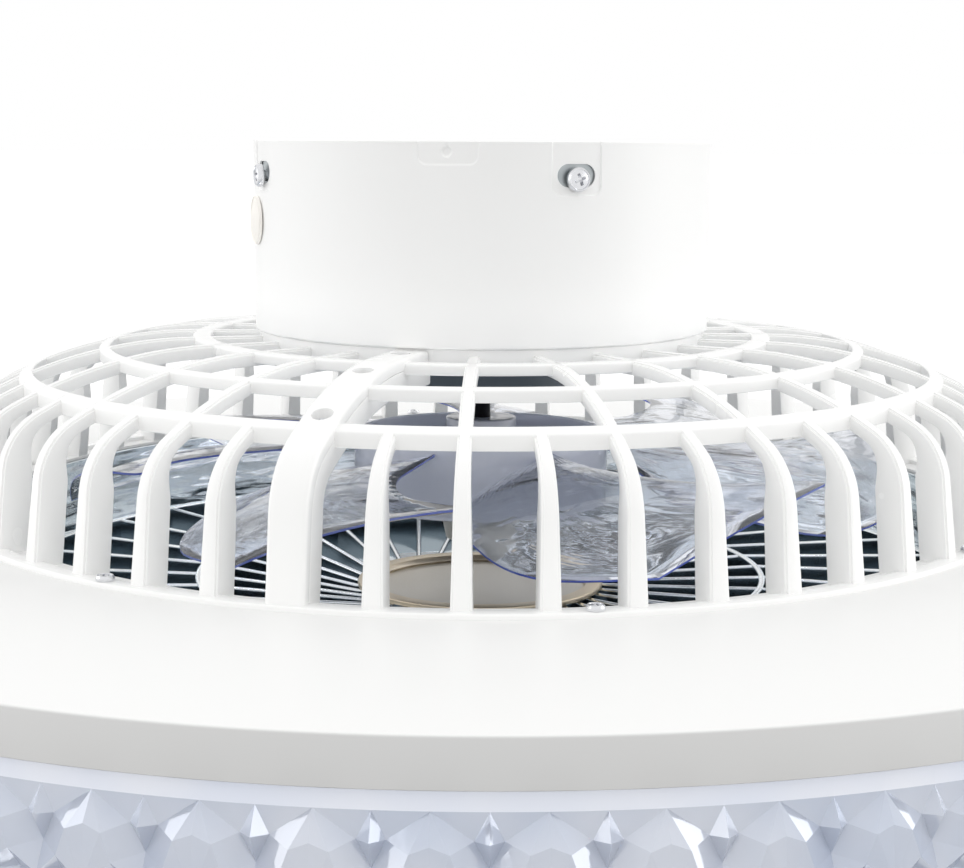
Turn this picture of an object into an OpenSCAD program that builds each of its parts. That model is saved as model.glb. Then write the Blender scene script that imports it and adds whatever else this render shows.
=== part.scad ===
// Ceiling fan with a ring light, enclosed in a slatted cage
// The origin is on the ceiling, at the centre of the canopy's rim, and everything hangs below it.
// Angles run from the front (-Y) towards the right (+X), counterclockwise seen from above.

/* [Canopy] */
// Outer diameter of the canopy drum at the ceiling
drum_d = 165.2; // [158:0.2:180]
// Height of the canopy drum
drum_h = 67.3; // [64:0.1:80]
// How much narrower the drum is at its foot, on the diameter
drum_draft = 0; // [0:0.1:3]
// Sheet thickness of the drum
drum_wall = 1.2; // [0.8:0.1:1.6]
// Width of the oblong slots for the side screws
slot_w = 13.5; // [9:0.5:18]
// Height of the oblong slots
slot_h = 7.5; // [5:0.1:7.8]
// Depth of the slots' centre line below the ceiling
slot_drop = 11; // [10:0.1:14]
// Angle of the first side screw from the front
side_screw_angle = 22; // [0:1:40]
// Diameter of the hole for the side plug
plug_hole_d = 12; // [8:0.5:14]
// Angle of the side plug from the front
plug_angle = -73; // [-80:1:-64]
// Depth of the side plug's centre below the ceiling
plug_drop = 28; // [26:0.5:44]

/* [Ceiling bracket] */
// Sheet thickness of the bracket
bracket_t = 1.5; // [1:0.1:2.5]
// Width of the bracket's crossing bars
bracket_bar_w = 34; // [32:1:44]
// Height of the bracket's bent tabs
tab_h = 20; // [18:1:24]
// Diameter of the hole for the supply cable
cable_hole_d = 28; // [16:1:30]
// Circle of the ceiling screws
ceiling_pcd = 104; // [70:1:120]
// Diameter of the ceiling screw holes
ceiling_hole_d = 5.5; // [4:0.1:7]

/* [Electrics] */
// Length of the fan controller's case
controller_l = 84; // [60:1:96]
// Length of the light driver's case
driver_l = 96; // [60:1:100]
// Width of both cases
case_w = 30; // [20:1:31]
// Height of both cases
case_h = 24; // [16:1:30]
// Length of the terminal block
terminal_l = 28; // [28:1:34]
// Height of the terminal block
terminal_h = 14; // [10:1:18]
// Diameter of the light's lead
lead_d = 2.6; // [2:0.1:3.2]

/* [Motor] */
// Diameter of the motor's mounting plate
motor_plate_d = 110; // [104:1:112]
// Thickness of the motor's mounting plate
motor_plate_t = 2; // [1.5:0.1:2.2]
// Outer diameter of the motor housing
motor_d = 66; // [60:1:70]
// Depth of the motor housing under its plate
motor_h = 22.7; // [22:0.1:26]
// Sheet thickness of the motor housing
motor_wall = 1.5; // [1:0.1:2]
// Diameter of the shaft
shaft_d = 7; // [6:0.1:8]
// Outer diameter of the bearings
bearing_od = 19; // [17:0.5:21]
// Width of the bearings
bearing_w = 6; // [5:0.1:6.5]
// Diameter of the magnet ring
magnet_d = 38; // [34:0.5:39]
// Number of stator teeth
stator_teeth = 12; // [9:3:12]

/* [Impeller] */
// Outer diameter of the clear hub
hub_d = 94; // [84:1:104]
// Distance from the ceiling to the hub's rim
hub_drop = 106; // [104:0.5:110]
// Height of the hub's wall
hub_h = 26; // [20:0.5:28]
// Wall thickness of the hub
hub_wall = 2; // [1.5:0.1:3]
// Outer diameter of the hub's boss
boss_d = 26; // [18:1:30]
// Number of webs inside the hub
hub_webs = 6; // [3:1:8]
// Number of blades, one node each
blade_count = 7; // [7:1:7]
// Diameter over the blade tips
blade_tip_d = 300; // [270:1:320]
// Thickness of a blade
blade_t = 1.4; // [1.2:0.1:2.6]
// Crown of a blade across its width
blade_crown = 3; // [0:0.5:5]
// Diameter of the nut under the hub
nut_d = 30; // [22:1:36]
// Height of the nut
nut_h = 18; // [12:0.5:20]

/* [Cage] */
// Height of the cage, from the canopy's foot to the base plate
cage_h = 61.8; // [58:0.1:70]
// How far the collar lies inside the foot of the canopy
collar_inset = 1.6; // [0.5:0.1:3]
// Depth of the cage's flat top under the canopy's foot
cage_step = 2.2; // [1.8:0.1:4]
// Outer diameter of the first ring
ring_a_d = 210.6; // [200:0.2:222]
// Outer diameter of the second ring
ring_b_d = 277; // [260:0.5:290]
// Diameter over the slats at their feet
foot_d = 379.2; // [372:0.2:392]
// Radius of the cage's shoulder
shoulder_r = 22; // [18:0.5:26]
// Height of the slats' straight part
straight_h = 26; // [22:0.5:30]
// Lean of the slats, in degrees
slat_lean = 6.6; // [3:0.1:8]
// Number of slats; every second one runs on to the collar as a rib
slat_count = 48; // [48:1:48]
// Slat width at the shoulder
slat_top_w = 4.2; // [3:0.1:5]
// Slat width at the foot
slat_foot_w = 6.3; // [5:0.1:8]
// Depth of a slat, from its outer to its inner edge
slat_depth = 10; // [8:0.1:11]
// Depth of a rib on the dome
rib_h = 4.5; // [3.5:0.1:5.5]
// Width of the cable conduit that replaces one rib
conduit_w = 12; // [11:0.5:14]
// Thickness of the conduit's cover
cover_t = 2.4; // [2:0.1:3]
// Thickness of the foot flange
flange_t = 1.6; // [1.2:0.1:2.4]

/* [Base plate] */
// Diameter of the base plate
plate_d = 585.2; // [578:0.2:592]
// Height of the base plate's rim
rim_h = 12.7; // [11:0.1:16]
// Flare of the rim, on the diameter
rim_flare = 1.4; // [0:0.1:3]
// Sheet thickness of the base plate
plate_t = 1.2; // [0.8:0.1:1.6]

/* [Light] */
// Gap between the flange of the duct and the LED board
board_flange_gap = 6; // [4:0.5:10]
// Gap between the LED board and the outside of the rim
board_rim_gap = 24.6; // [22:0.2:40]
// Thickness of the LED board
board_t = 1.5; // [1:0.1:2]
// Number of LEDs in each of the two rows
leds_per_row = 36; // [24:1:48]
// Gap between the crystal ring's smooth band and the rim around it
band_gap = 0.4; // [0.2:0.1:2]
// How far the crystals stand out of the band
crystal_relief = 7.5; // [5:0.1:10]
// Number of crystals round the ring
crystal_count = 69; // [60:1:76]
// Height of the crystal ring
crystal_h = 58.4; // [54:0.2:64]
// Wall thickness of the crystal ring's band
crystal_wall = 3; // [2:0.1:4]
// Thickness of the opal diffuser
opal_t = 2.5; // [1.5:0.1:3]

/* [Air outlet] */
// How far the duct's inner wall lies inside the slats' feet
duct_inset = 11.1; // [11:0.1:16]
// Wall thickness of the duct ring
duct_wall = 2; // [1.5:0.1:2.5]
// Number of grille fins
fin_count = 36; // [24:1:48]
// Thickness of a fin
fin_t = 1.6; // [1:0.1:2.4]
// Height of a fin
fin_h = 16; // [10:0.5:20]
// Depth of the grille's top below the base plate
grille_drop = 29.7; // [26:0.1:34]
// How far the fins dip towards the middle
grille_dish = 5.8; // [0:0.2:8]
// Distance at which each fin's straight line passes the axis
fin_offset = 23; // [10:1:30]
// Diameter of the grille's middle ring
mid_ring_d = 210; // [180:1:240]
// Diameter of the centre disc
disc_d = 92; // [80:1:100]

/* [Hidden] */
$fn = 96;

// Clearances: parts that lie together, screws in their threads, screws in clear holes, the running shaft
seat_gap = 0.1;
thread_gap = 0.05;
screw_gap = 0.2;
shaft_gap = 0.05;
fit_gap = 0.3;
eps = 0.01;

// Screws: shank radius, head radius and head height
m4 = [2, 4, 2.6];
m3 = [1.5, 2.8, 1.9];

// Canopy
drum_r = drum_d / 2;
drum_foot_r = drum_r - drum_draft / 2;
drum_edge_r = 1.5;
drum_foot_z = -drum_h;
drum_floor_z = drum_foot_z + drum_wall;
screw_drop = slot_drop + 1.2;
tab_r = drum_r - drum_wall - drum_draft / 2 * tab_h / drum_h - fit_gap;
plug_flange_r = plug_hole_d / 2 + 2.6;
floor_hole_d = 24;
side_angles = [for (i = [0 : 3]) side_screw_angle + 90 * i];
collar_angles = [for (i = [0 : 3]) 45 + 90 * i];
motor_screw_angles = [for (i = [0 : 3]) 90 * i];
collar_screw_r = drum_foot_r - collar_inset - 11;
case_side = 8;
terminal_x = max(motor_plate_d / 2 - 4, driver_l / 2 + 3, controller_l / 2 + 3);
terminal_pitch = terminal_l / 3;
wire_r = 1.2;
wire_z = drum_floor_z + terminal_h / 2 - 2;

// Motor, hanging from the canopy's floor
plate_bottom_z = drum_foot_z - motor_plate_t;
motor_r = motor_d / 2;
motor_bottom_z = plate_bottom_z - motor_h;
shaft_r = shaft_d / 2;
bearing_r = bearing_od / 2;
bearing_seat_t = 2;
upper_bearing_z = plate_bottom_z - bearing_w;
lower_bearing_z = motor_bottom_z + motor_wall;
motor_screw_r = (motor_plate_d - 20) / 2;
can_flange_r = motor_r + 7;
can_screw_r = motor_r + 3.6;
magnet_r = magnet_d / 2;
washer_t = 0.5;
rotor_top_z = upper_bearing_z - washer_t - 2 * seat_gap;
rotor_bottom_z = lower_bearing_z + bearing_w + washer_t + 2 * seat_gap;
rotor_hub_r = magnet_r - 5;
tooth_tip_r = magnet_r + 0.6;
yoke_r = motor_r - motor_wall - seat_gap;
coil_t = 1.2;
tooth_w = 3.6;
motor_lead_angle = 195;
motor_lead_r = 2;
motor_lead_place = (tooth_tip_r + yoke_r) / 2 + 3;

// Impeller
hub_r = hub_d / 2;
hub_rim_z = -hub_drop;
hub_bottom_z = hub_rim_z - hub_h;
boss_top_z = hub_rim_z + 5;
pin_r = 1.5;
pin_z = boss_top_z - pin_r - 0.5;
nut_bottom_z = hub_bottom_z - nut_h;
shaft_bottom_z = nut_bottom_z + 3;
blade_root_gap = 0.05;
// Blade stations, as shares of the span, with the angle and the drop below the rim of both edges
blade_share = [0, 0.17, 0.42, 0.71, 0.90, 1];
low_angle = [24, 5, -4, 0, 8, 21];
low_fall = [4, 7.5, 13, 19.5, 24, 23];
high_angle = [31.5, 32, 34, 40.5, 49.5, 47];
high_fall = [2, 3, 3.3, 3, 2, 1];
span_steps = 10;
chord_steps = 7;

// Cage
plate_z = drum_foot_z - cage_h;
cage_top_z = drum_foot_z - cage_step;
collar_r = drum_foot_r - collar_inset;
collar_bottom_z = cage_top_z - rib_h;
collar_t = 3.4;
collar_inner_r = motor_plate_d / 2 + 1;
ring_a_r = ring_a_d / 2;
ring_b_r = ring_b_d / 2;
foot_r = foot_d / 2;
slat_pitch = 360 / slat_count;
first_slat_angle = -1.56;
conduit_angle = first_slat_angle - 2 * slat_pitch;
// Shoulder arc, tangent to the slats' straight part, and the dome arc that meets it
shoulder_top_angle = 64;
shoulder_centre = [foot_r - straight_h * tan(slat_lean) - shoulder_r * cos(slat_lean),
                   plate_z + straight_h - shoulder_r * sin(slat_lean)];
dome_end = shoulder_centre + shoulder_r * [cos(shoulder_top_angle), sin(shoulder_top_angle)];
dome_run = dome_end[0] - ring_a_r;
dome_fall = cage_top_z - dome_end[1];
dome_r = (dome_run * dome_run + dome_fall * dome_fall) / (2 * dome_fall);
dome_centre = [ring_a_r, cage_top_z - dome_r];
dome_end_angle = acos(dome_run / dome_r);
ring_s_r = dome_end[0] - 6.5;
arc_steps = 5;
flange_inner_r = foot_r - 6.6;
flange_outer_r = foot_r + 4.9;
foot_screw_r = foot_r;
foot_screw_count = 8;
foot_screw_angle = first_slat_angle + 1.5 * slat_pitch;
conduit_depth = 10;
conduit_foot_depth = 11.5;
conduit_wall = 1.4;
conduit_pocket_h = 1;
// How far the screws of the conduit lie outside the collar and the first two rings
conduit_screw_steps = [10, 21, 22];
conduit_screw_rs = [collar_r, ring_a_r, ring_b_r] + conduit_screw_steps;
post_l = 7;
lead_r = lead_d / 2;
lead_depth = conduit_depth - conduit_wall - lead_r - seat_gap;
lead_foot_depth = 6;
post_depth = lead_depth - lead_r - seat_gap;
lead_hole_r = collar_r - 7;

// Base plate
plate_r = plate_d / 2;
plate_under_z = plate_z - plate_t;
rim_bottom_z = plate_z - rim_h;
rim_bottom_r = plate_r + rim_flare / 2;
plate_hole_r = foot_r - duct_inset + 1;
rim_edge_r = 0.8;

// Duct ring and grille
duct_r = foot_r - duct_inset;
duct_outer_r = duct_r + duct_wall;
duct_top_z = plate_under_z - seat_gap;
duct_flange_t = 2;
duct_flange_r = foot_r + 6.4;
duct_boss_r = 4;
duct_boss_h = 7;
shade_bottom_z = duct_top_z - crystal_h;
grille_top_z = plate_z - grille_drop;
fin_inset = 0.3;
grille_bottom_z = grille_top_z - fin_h - 2 * fin_inset;
ledge_w = 3;
ledge_h = 2;
grille_rim_t = 2.2;
grille_rim_r = duct_r - seat_gap;
dish_top_z = grille_top_z - grille_dish;
fin_phase = 2;
fin_root = 1.2;
disc_r = disc_d / 2;
disc_t = 1.2;
disc_rim_h = 1.8;
disc_rim_w = 7;
disc_sink = 2;
inner_ring_r = disc_r - 2;
inner_ring_t = 2.5;
mid_ring_r = mid_ring_d / 2;
mid_ring_t = 2.3;

// Light
board_ir = duct_flange_r + board_flange_gap;
board_or = plate_r - board_rim_gap;
board_top_z = plate_under_z - seat_gap;
board_bottom_z = board_top_z - board_t;
board_screw_r = (board_ir + board_or) / 2;
led_rows = [for (share = [0.303, 0.788]) board_ir + share * (board_or - board_ir)];
band_r = plate_r - plate_t - band_gap;
band_inner_r = band_r - crystal_wall;
shade_top_z = plate_under_z - fit_gap;
band_bottom_z = rim_bottom_z - 5.5;
crystal_r = band_r + crystal_relief;
crystal_foot_r = crystal_r - 10;
crystal_cut = 3.2;
// Rows of the cut crystals: depth under the band, step back from the largest radius, which way they swing
crystal_rows = [[2, 1, true], [9, 0, true], [18, 0, false], [27, 3, true]];
crystal_inner_drop = 12;
lip_w = 8;
shade_lip_t = 2;
bead_w = 2;
bead_top_z = rim_bottom_z + 1;
bead_h = 1.6;
opal_top_z = shade_bottom_z + shade_lip_t + seat_gap + opal_t;
clip_t = 1;
clip_w = 14;
clip_count = 6;
connector_size = [9, 12, 5];
connector_r = board_ir + 1;

// Turn to an angle from the front, with local +X pointing outwards
module at(angle) {
    rotate([0, 0, angle - 90]) children();
}

// A ring between two radii and two heights
module ring(r_out, r_in, z_low, z_high) {
    translate([0, 0, z_low]) difference() {
        cylinder(r = r_out, h = z_high - z_low);
        translate([0, 0, -1]) cylinder(r = r_in, h = z_high - z_low + 2);
    }
}

// A vertical hole through everything between two heights
module hole(r, z_low, z_high) {
    translate([0, 0, z_low - 1]) cylinder(r = r, h = z_high - z_low + 2);
}

// A pan head screw that points down from its seat, with a cross recess
module screw(size, length) {
    cross_w = size[0] * 0.4;
    difference() {
        union() {
            translate([0, 0, -length]) cylinder(r = size[0], h = length + eps);
            cylinder(r = size[1], h = size[2] * 0.55);
            translate([0, 0, size[2] * 0.55]) cylinder(r1 = size[1], r2 = size[1] * 0.6, h = size[2] * 0.45);
        }
        for (turn = [0, 90]) {
            rotate([0, 0, turn + 20]) translate([0, 0, size[2]])
                cube([size[1], cross_w, size[2]], center = true);
        }
    }
}

// A tube along a path in the plane of the local X and Z axes
module planar_tube(path, r) {
    sides = 8;
    last = len(path) - 1;
    rings = [for (i = [0 : last])
        let (step = path[min(i + 1, last)] - path[max(i - 1, 0)], along = step / norm(step),
             across = [-along[1], along[0]])
        for (k = [0 : sides - 1])
            let (side = r * cos(360 * k / sides), out = r * sin(360 * k / sides))
            [path[i][0] + side * across[0], out, path[i][1] + side * across[1]]];
    walls = [for (i = [0 : last - 1], k = [0 : sides - 1])
        let (a = i * sides + k, b = i * sides + (k + 1) % sides)
        each [[a, b, b + sides], [a, b + sides, a + sides]]];
    start = [[for (k = [0 : sides - 1]) sides - 1 - k]];
    end = [[for (k = [0 : sides - 1]) last * sides + k]];
    polyhedron(points = rings, faces = concat(walls, start, end));
}

// Points on an arc, as [x, z]
function arc(centre, r, from, to, steps) =
    [for (i = [0 : steps]) let (a = from + (to - from) * i / steps) centre + r * [cos(a), sin(a)]];

function backwards(list) = [for (i = [len(list) - 1 : -1 : 0]) list[i]];

// Height of the cage's outer surface on its dome
function dome_z(r) = r <= ring_a_r ? cage_top_z : dome_centre[1] + sqrt(pow(dome_r, 2) - pow(r - ring_a_r, 2));

// A line at a depth inside the cage's outer surface, from a start radius on its flat top to the foot
function cage_line(top_depth, foot_depth, start_r, end_z) = concat(
    start_r < ring_a_r ? [[start_r, cage_top_z - top_depth]] : [],
    arc(dome_centre, dome_r - top_depth,
        start_r < ring_a_r ? 90 : acos((start_r - ring_a_r) / (dome_r - top_depth)), dome_end_angle, arc_steps),
    [for (i = [0 : arc_steps])
        let (share = i / arc_steps, a = shoulder_top_angle + (slat_lean - shoulder_top_angle) * share,
             depth = top_depth + (foot_depth - top_depth) * share)
        shoulder_centre + (shoulder_r - depth) * [cos(a), sin(a)]],
    [[foot_r - foot_depth, end_z]]);

// Section of a rib between two such lines
module rib_section(outer_depth, top_depth, foot_depth, start_r, end_z) {
    polygon(concat(cage_line(outer_depth, outer_depth, start_r, end_z),
                   backwards(cage_line(top_depth, foot_depth, start_r, end_z))));
}

// The same section as a plate across the rib
module rib_plate(width, outer_depth, top_depth, foot_depth, start_r, end_z) {
    rotate([90, 0, 0]) linear_extrude(height = width, center = true)
        rib_section(outer_depth, top_depth, foot_depth, start_r, end_z);
}

// A value between stations of a smooth curve
function slope(xs, ys, i) = let (a = max(i - 1, 0), b = min(i + 1, len(xs) - 1)) (ys[b] - ys[a]) / (xs[b] - xs[a]);
function station(xs, x, i = 0) = i >= len(xs) - 2 || x < xs[i + 1] ? i : station(xs, x, i + 1);
function curve(xs, ys, x) =
    let (i = station(xs, x), h = xs[i + 1] - xs[i], t = (x - xs[i]) / h)
    (2 * pow(t, 3) - 3 * pow(t, 2) + 1) * ys[i] + (pow(t, 3) - 2 * pow(t, 2) + t) * h * slope(xs, ys, i)
    + (3 * pow(t, 2) - 2 * pow(t, 3)) * ys[i + 1] + (pow(t, 3) - pow(t, 2)) * h * slope(xs, ys, i + 1);

// Canopy and what it holds

module ceiling_bracket() {
    color("silver") difference() {
        union() {
            intersection() {
                translate([0, 0, -bracket_t]) cylinder(r = tab_r, h = bracket_t);
                for (angle = [side_screw_angle, side_screw_angle + 90]) {
                    at(angle) cube([drum_d, bracket_bar_w, 4 * bracket_t], center = true);
                }
            }
            intersection() {
                ring(tab_r, tab_r - bracket_t, -tab_h, 0);
                for (angle = [side_screw_angle, side_screw_angle + 90]) {
                    at(angle) cube([drum_d, bracket_bar_w - 8, 3 * tab_h], center = true);
                }
            }
        }
        hole(cable_hole_d / 2, -bracket_t, 0);
        for (angle = side_angles) {
            at(angle) translate([ceiling_pcd / 2, 0, 0]) hole(ceiling_hole_d / 2, -bracket_t, 0);
            at(angle) translate([tab_r - 2 * bracket_t, 0, -screw_drop]) rotate([0, 90, 0])
                cylinder(r = m4[0] + thread_gap, h = 4 * bracket_t);
        }
    }
}

module canopy_drum() {
    color("white") difference() {
        rotate_extrude() polygon(concat(
            [[drum_r - drum_wall, 0], [drum_r, 0]],
            arc([drum_foot_r - drum_edge_r, drum_foot_z + drum_edge_r], drum_edge_r, 0, -90, 4),
            [[floor_hole_d / 2, drum_foot_z], [floor_hole_d / 2, drum_floor_z],
             [drum_foot_r - drum_wall, drum_floor_z]]));
        for (angle = side_angles) {
            at(angle) translate([drum_r - 8, 0, -slot_drop]) rotate([0, 90, 0])
                linear_extrude(height = 12) {
                    square([slot_h, slot_w - slot_h], center = true);
                    for (side = [-1, 1]) {
                        translate([0, side * (slot_w - slot_h) / 2]) circle(r = slot_h / 2);
                    }
                }
        }
        at(plug_angle) translate([drum_r - 8, 0, -plug_drop]) rotate([0, 90, 0])
            cylinder(r = plug_hole_d / 2, h = 12);
        for (angle = collar_angles) {
            at(angle) translate([collar_screw_r, 0, 0]) hole(m4[0] + screw_gap, drum_foot_z, drum_floor_z);
        }
        for (angle = motor_screw_angles) {
            at(angle) translate([motor_screw_r, 0, 0]) hole(m4[0] + screw_gap, drum_foot_z, drum_floor_z);
        }
        at(motor_lead_angle) translate([motor_lead_place, 0, 0])
            hole(motor_lead_r + 1, drum_foot_z, drum_floor_z);
        at(conduit_angle) translate([lead_hole_r, 0, 0]) hole(lead_r + 1, drum_foot_z, drum_floor_z);
    }
}

module canopy_screws() {
    color("gainsboro") for (angle = side_angles) {
        at(angle) translate([drum_r + seat_gap, 0, -screw_drop]) rotate([0, 90, 0])
            screw(m4, drum_wall + 8);
    }
}

module side_plug() {
    plug_flange_t = 2.2;
    bead_r = plug_hole_d / 2 + 0.7;
    stem_end = drum_foot_r - drum_wall - 0.5;
    color("linen") at(plug_angle) translate([0, 0, -plug_drop]) rotate([0, 90, 0]) {
        translate([0, 0, drum_r + seat_gap])
            cylinder(r1 = plug_flange_r, r2 = plug_flange_r - 1.4, h = plug_flange_t);
        translate([0, 0, stem_end - 1.4])
            cylinder(r = plug_hole_d / 2 - seat_gap, h = drum_r + seat_gap + eps - stem_end + 1.4);
        translate([0, 0, stem_end - 1.4]) cylinder(r1 = bead_r - 0.6, r2 = bead_r, h = 1.4);
    }
}

module terminal_block() {
    depth = 16;
    color("whitesmoke") translate([terminal_x, 0, drum_floor_z]) difference() {
        translate([0, -terminal_l / 2, 0]) cube([depth, terminal_l, terminal_h]);
        for (i = [-1 : 1]) {
            translate([0, terminal_pitch * i, 0]) {
                for (x = [4, depth - 4]) {
                    translate([x, 0, terminal_h - 4]) cylinder(r = 1.8, h = 5);
                }
                translate([-1, 0, wire_z - drum_floor_z]) rotate([0, 90, 0])
                    cylinder(r = wire_r + 0.3, h = depth + 2);
            }
        }
    }
}

// A sealed case with a stepped lid, standing on the canopy's floor
module electronics_case(length) {
    lid_step = 0.8;
    lid_h = 4;
    cube([length, case_w, case_h - lid_h + eps]);
    translate([lid_step, lid_step, case_h - lid_h])
        cube([length - 2 * lid_step, case_w - 2 * lid_step, lid_h]);
}

module controller_box() {
    color("white") translate([-controller_l / 2, case_side, drum_floor_z]) electronics_case(controller_l);
}

module led_driver() {
    color("whitesmoke") translate([-driver_l / 2, -case_side - case_w, drum_floor_z]) electronics_case(driver_l);
}

// Two wires that join the terminal block to the cases
module canopy_wires() {
    end_x = terminal_x + 3;
    color("saddlebrown") for (end = [[controller_l / 2, 1], [driver_l / 2, -1]]) {
        start_x = end[0] + seat_gap;
        hump = (end_x - start_x) / 12;
        translate([0, end[1] * terminal_pitch, 0]) planar_tube([
            [start_x, wire_z], [start_x + 0.8, wire_z], [(start_x + terminal_x) / 2, wire_z + hump],
            [terminal_x - 0.4, wire_z], [end_x, wire_z]], wire_r);
    }
}

module collar_screws() {
    color("silver") for (angle = collar_angles) {
        at(angle) translate([collar_screw_r, 0, drum_floor_z]) screw(m4, drum_wall + collar_t - 0.4);
    }
}

// Motor

module motor_plate() {
    color("slategray") difference() {
        union() {
            ring(motor_plate_d / 2, shaft_r + 2, plate_bottom_z, drum_foot_z);
            ring(bearing_r + seat_gap / 2 + bearing_seat_t, bearing_r + seat_gap / 2,
                 upper_bearing_z, plate_bottom_z + eps);
        }
        for (angle = motor_screw_angles) {
            at(angle) translate([motor_screw_r, 0, 0]) hole(m4[0] + thread_gap, plate_bottom_z, drum_foot_z);
            at(angle + 45) translate([can_screw_r, 0, 0]) hole(m3[0] + thread_gap, plate_bottom_z, drum_foot_z);
        }
        at(motor_lead_angle) translate([motor_lead_place, 0, 0])
            hole(motor_lead_r + 0.5, plate_bottom_z, drum_foot_z);
    }
}

module motor_screws() {
    color("silver") for (angle = motor_screw_angles) {
        at(angle) translate([motor_screw_r, 0, drum_floor_z]) screw(m4, drum_wall + motor_plate_t);
    }
}

module motor_housing() {
    seat_r = bearing_r + seat_gap / 2;
    color("darkslategray") difference() {
        rotate_extrude() polygon([
            [shaft_r + 1.5, motor_bottom_z], [motor_r - 2, motor_bottom_z], [motor_r, motor_bottom_z + 2],
            [motor_r, plate_bottom_z - motor_wall], [can_flange_r, plate_bottom_z - motor_wall],
            [can_flange_r, plate_bottom_z], [motor_r - motor_wall, plate_bottom_z],
            [motor_r - motor_wall, lower_bearing_z], [seat_r + bearing_seat_t, lower_bearing_z],
            [seat_r + bearing_seat_t, lower_bearing_z + bearing_w], [seat_r, lower_bearing_z + bearing_w],
            [seat_r, lower_bearing_z], [shaft_r + 1.5, lower_bearing_z]]);
        for (angle = motor_screw_angles) {
            at(angle + 45) translate([can_screw_r, 0, 0])
                hole(m3[0] + screw_gap, plate_bottom_z - motor_wall, plate_bottom_z);
        }
    }
}

module housing_screws() {
    color("silver") for (angle = motor_screw_angles) {
        at(angle + 45) translate([can_screw_r, 0, plate_bottom_z - motor_wall]) rotate([180, 0, 0])
            screw(m3, motor_wall + motor_plate_t);
    }
}

module stator_core() {
    tip_w = 6.4;
    color("dimgray") {
        ring(yoke_r, yoke_r - 4, rotor_bottom_z + coil_t, rotor_top_z - coil_t);
        for (i = [0 : stator_teeth - 1]) {
            at(360 / stator_teeth * i) {
                translate([tooth_tip_r + 0.8, -tooth_w / 2, rotor_bottom_z + coil_t])
                    cube([yoke_r - tooth_tip_r - 3.8, tooth_w, rotor_top_z - rotor_bottom_z - 2 * coil_t]);
                translate([tooth_tip_r + 0.3, -tip_w / 2, rotor_bottom_z + coil_t])
                    cube([1.2, tip_w, rotor_top_z - rotor_bottom_z - 2 * coil_t]);
            }
        }
    }
}

// One wound coil round each tooth
module stator_coils() {
    coil_in = tooth_tip_r + 1.6;
    coil_out = yoke_r - 4.6;
    coil_side = tooth_w / 2 + seat_gap;
    low = rotor_bottom_z + coil_t;
    high = rotor_top_z - coil_t;
    color("chocolate") for (i = [0 : stator_teeth - 1]) {
        at(360 / stator_teeth * i) difference() {
            translate([coil_in, -coil_side - coil_t, low - coil_t])
                cube([coil_out - coil_in, 2 * (coil_side + coil_t), high - low + 2 * coil_t]);
            translate([coil_in - 1, -coil_side, low - seat_gap])
                cube([coil_out - coil_in + 2, 2 * coil_side, high - low + 2 * seat_gap]);
        }
    }
}

// A shielded ball bearing with its bottom face at a height
module bearing(z) {
    shield_d = 0.5;
    mid_r = (shaft_r + bearing_r) / 2;
    color("lightgray") difference() {
        ring(bearing_r, shaft_r + shaft_gap, z, z + bearing_w);
        for (face = [z - 1, z + bearing_w - shield_d]) {
            ring(mid_r + 1.4, mid_r - 1.4, face, face + 1 + shield_d);
        }
    }
}

module upper_bearing() {
    bearing(upper_bearing_z);
}

module lower_bearing() {
    bearing(lower_bearing_z);
}

module motor_lead() {
    color("black") at(motor_lead_angle) translate([motor_lead_place, 0, rotor_top_z + seat_gap])
        cylinder(r = motor_lead_r, h = drum_floor_z - rotor_top_z - 2 * seat_gap);
}

// Rotor

module motor_shaft() {
    top_z = plate_bottom_z - 0.2;
    bevel = 0.6;
    color("dimgray") difference() {
        rotate_extrude() polygon([
            [0, shaft_bottom_z], [shaft_r - bevel, shaft_bottom_z], [shaft_r, shaft_bottom_z + bevel],
            [shaft_r, top_z - bevel], [shaft_r - bevel, top_z], [0, top_z]]);
        translate([0, 0, pin_z]) rotate([0, 90, 0])
            cylinder(r = pin_r + thread_gap, h = 2 * shaft_d, center = true);
    }
}

module rotor_core() {
    color("gray") ring(rotor_hub_r, shaft_r + thread_gap, rotor_bottom_z, rotor_top_z);
}

module rotor_magnet() {
    color("black") ring(magnet_r, rotor_hub_r + thread_gap, rotor_bottom_z, rotor_top_z);
}

module thrust_washers() {
    color("goldenrod") for (z = [rotor_top_z + seat_gap, rotor_bottom_z - washer_t - seat_gap]) {
        ring(shaft_r + 1.6, shaft_r + thread_gap, z, z + washer_t);
    }
}

module drive_pin() {
    pin_l = boss_d - 6;
    color("silver") translate([0, 0, pin_z]) rotate([0, 90, 0]) cylinder(r = pin_r, h = pin_l, center = true);
}

module impeller_hub() {
    floor_t = 2.5;
    web_t = 1.6;
    boss_r = boss_d / 2;
    color("lightsteelblue") difference() {
        union() {
            rotate_extrude() polygon([
                [shaft_r + thread_gap, hub_bottom_z], [hub_r - 1, hub_bottom_z], [hub_r, hub_bottom_z + 1],
                [hub_r, hub_rim_z], [hub_r - hub_wall, hub_rim_z], [hub_r - hub_wall, hub_bottom_z + floor_t],
                [boss_r, hub_bottom_z + floor_t], [boss_r, boss_top_z], [shaft_r + thread_gap, boss_top_z]]);
            for (i = [0 : hub_webs - 1]) {
                at(8 + 360 / hub_webs * i) translate([boss_r - 1, -web_t / 2, hub_bottom_z + floor_t - eps])
                    cube([hub_r - hub_wall - boss_r + 1.5, web_t, hub_h - floor_t - 3]);
            }
        }
        translate([-boss_r - 1, -pin_r - seat_gap, pin_z - pin_r - seat_gap])
            cube([boss_d + 2, 2 * (pin_r + seat_gap), 2 * boss_r]);
    }
}

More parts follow.
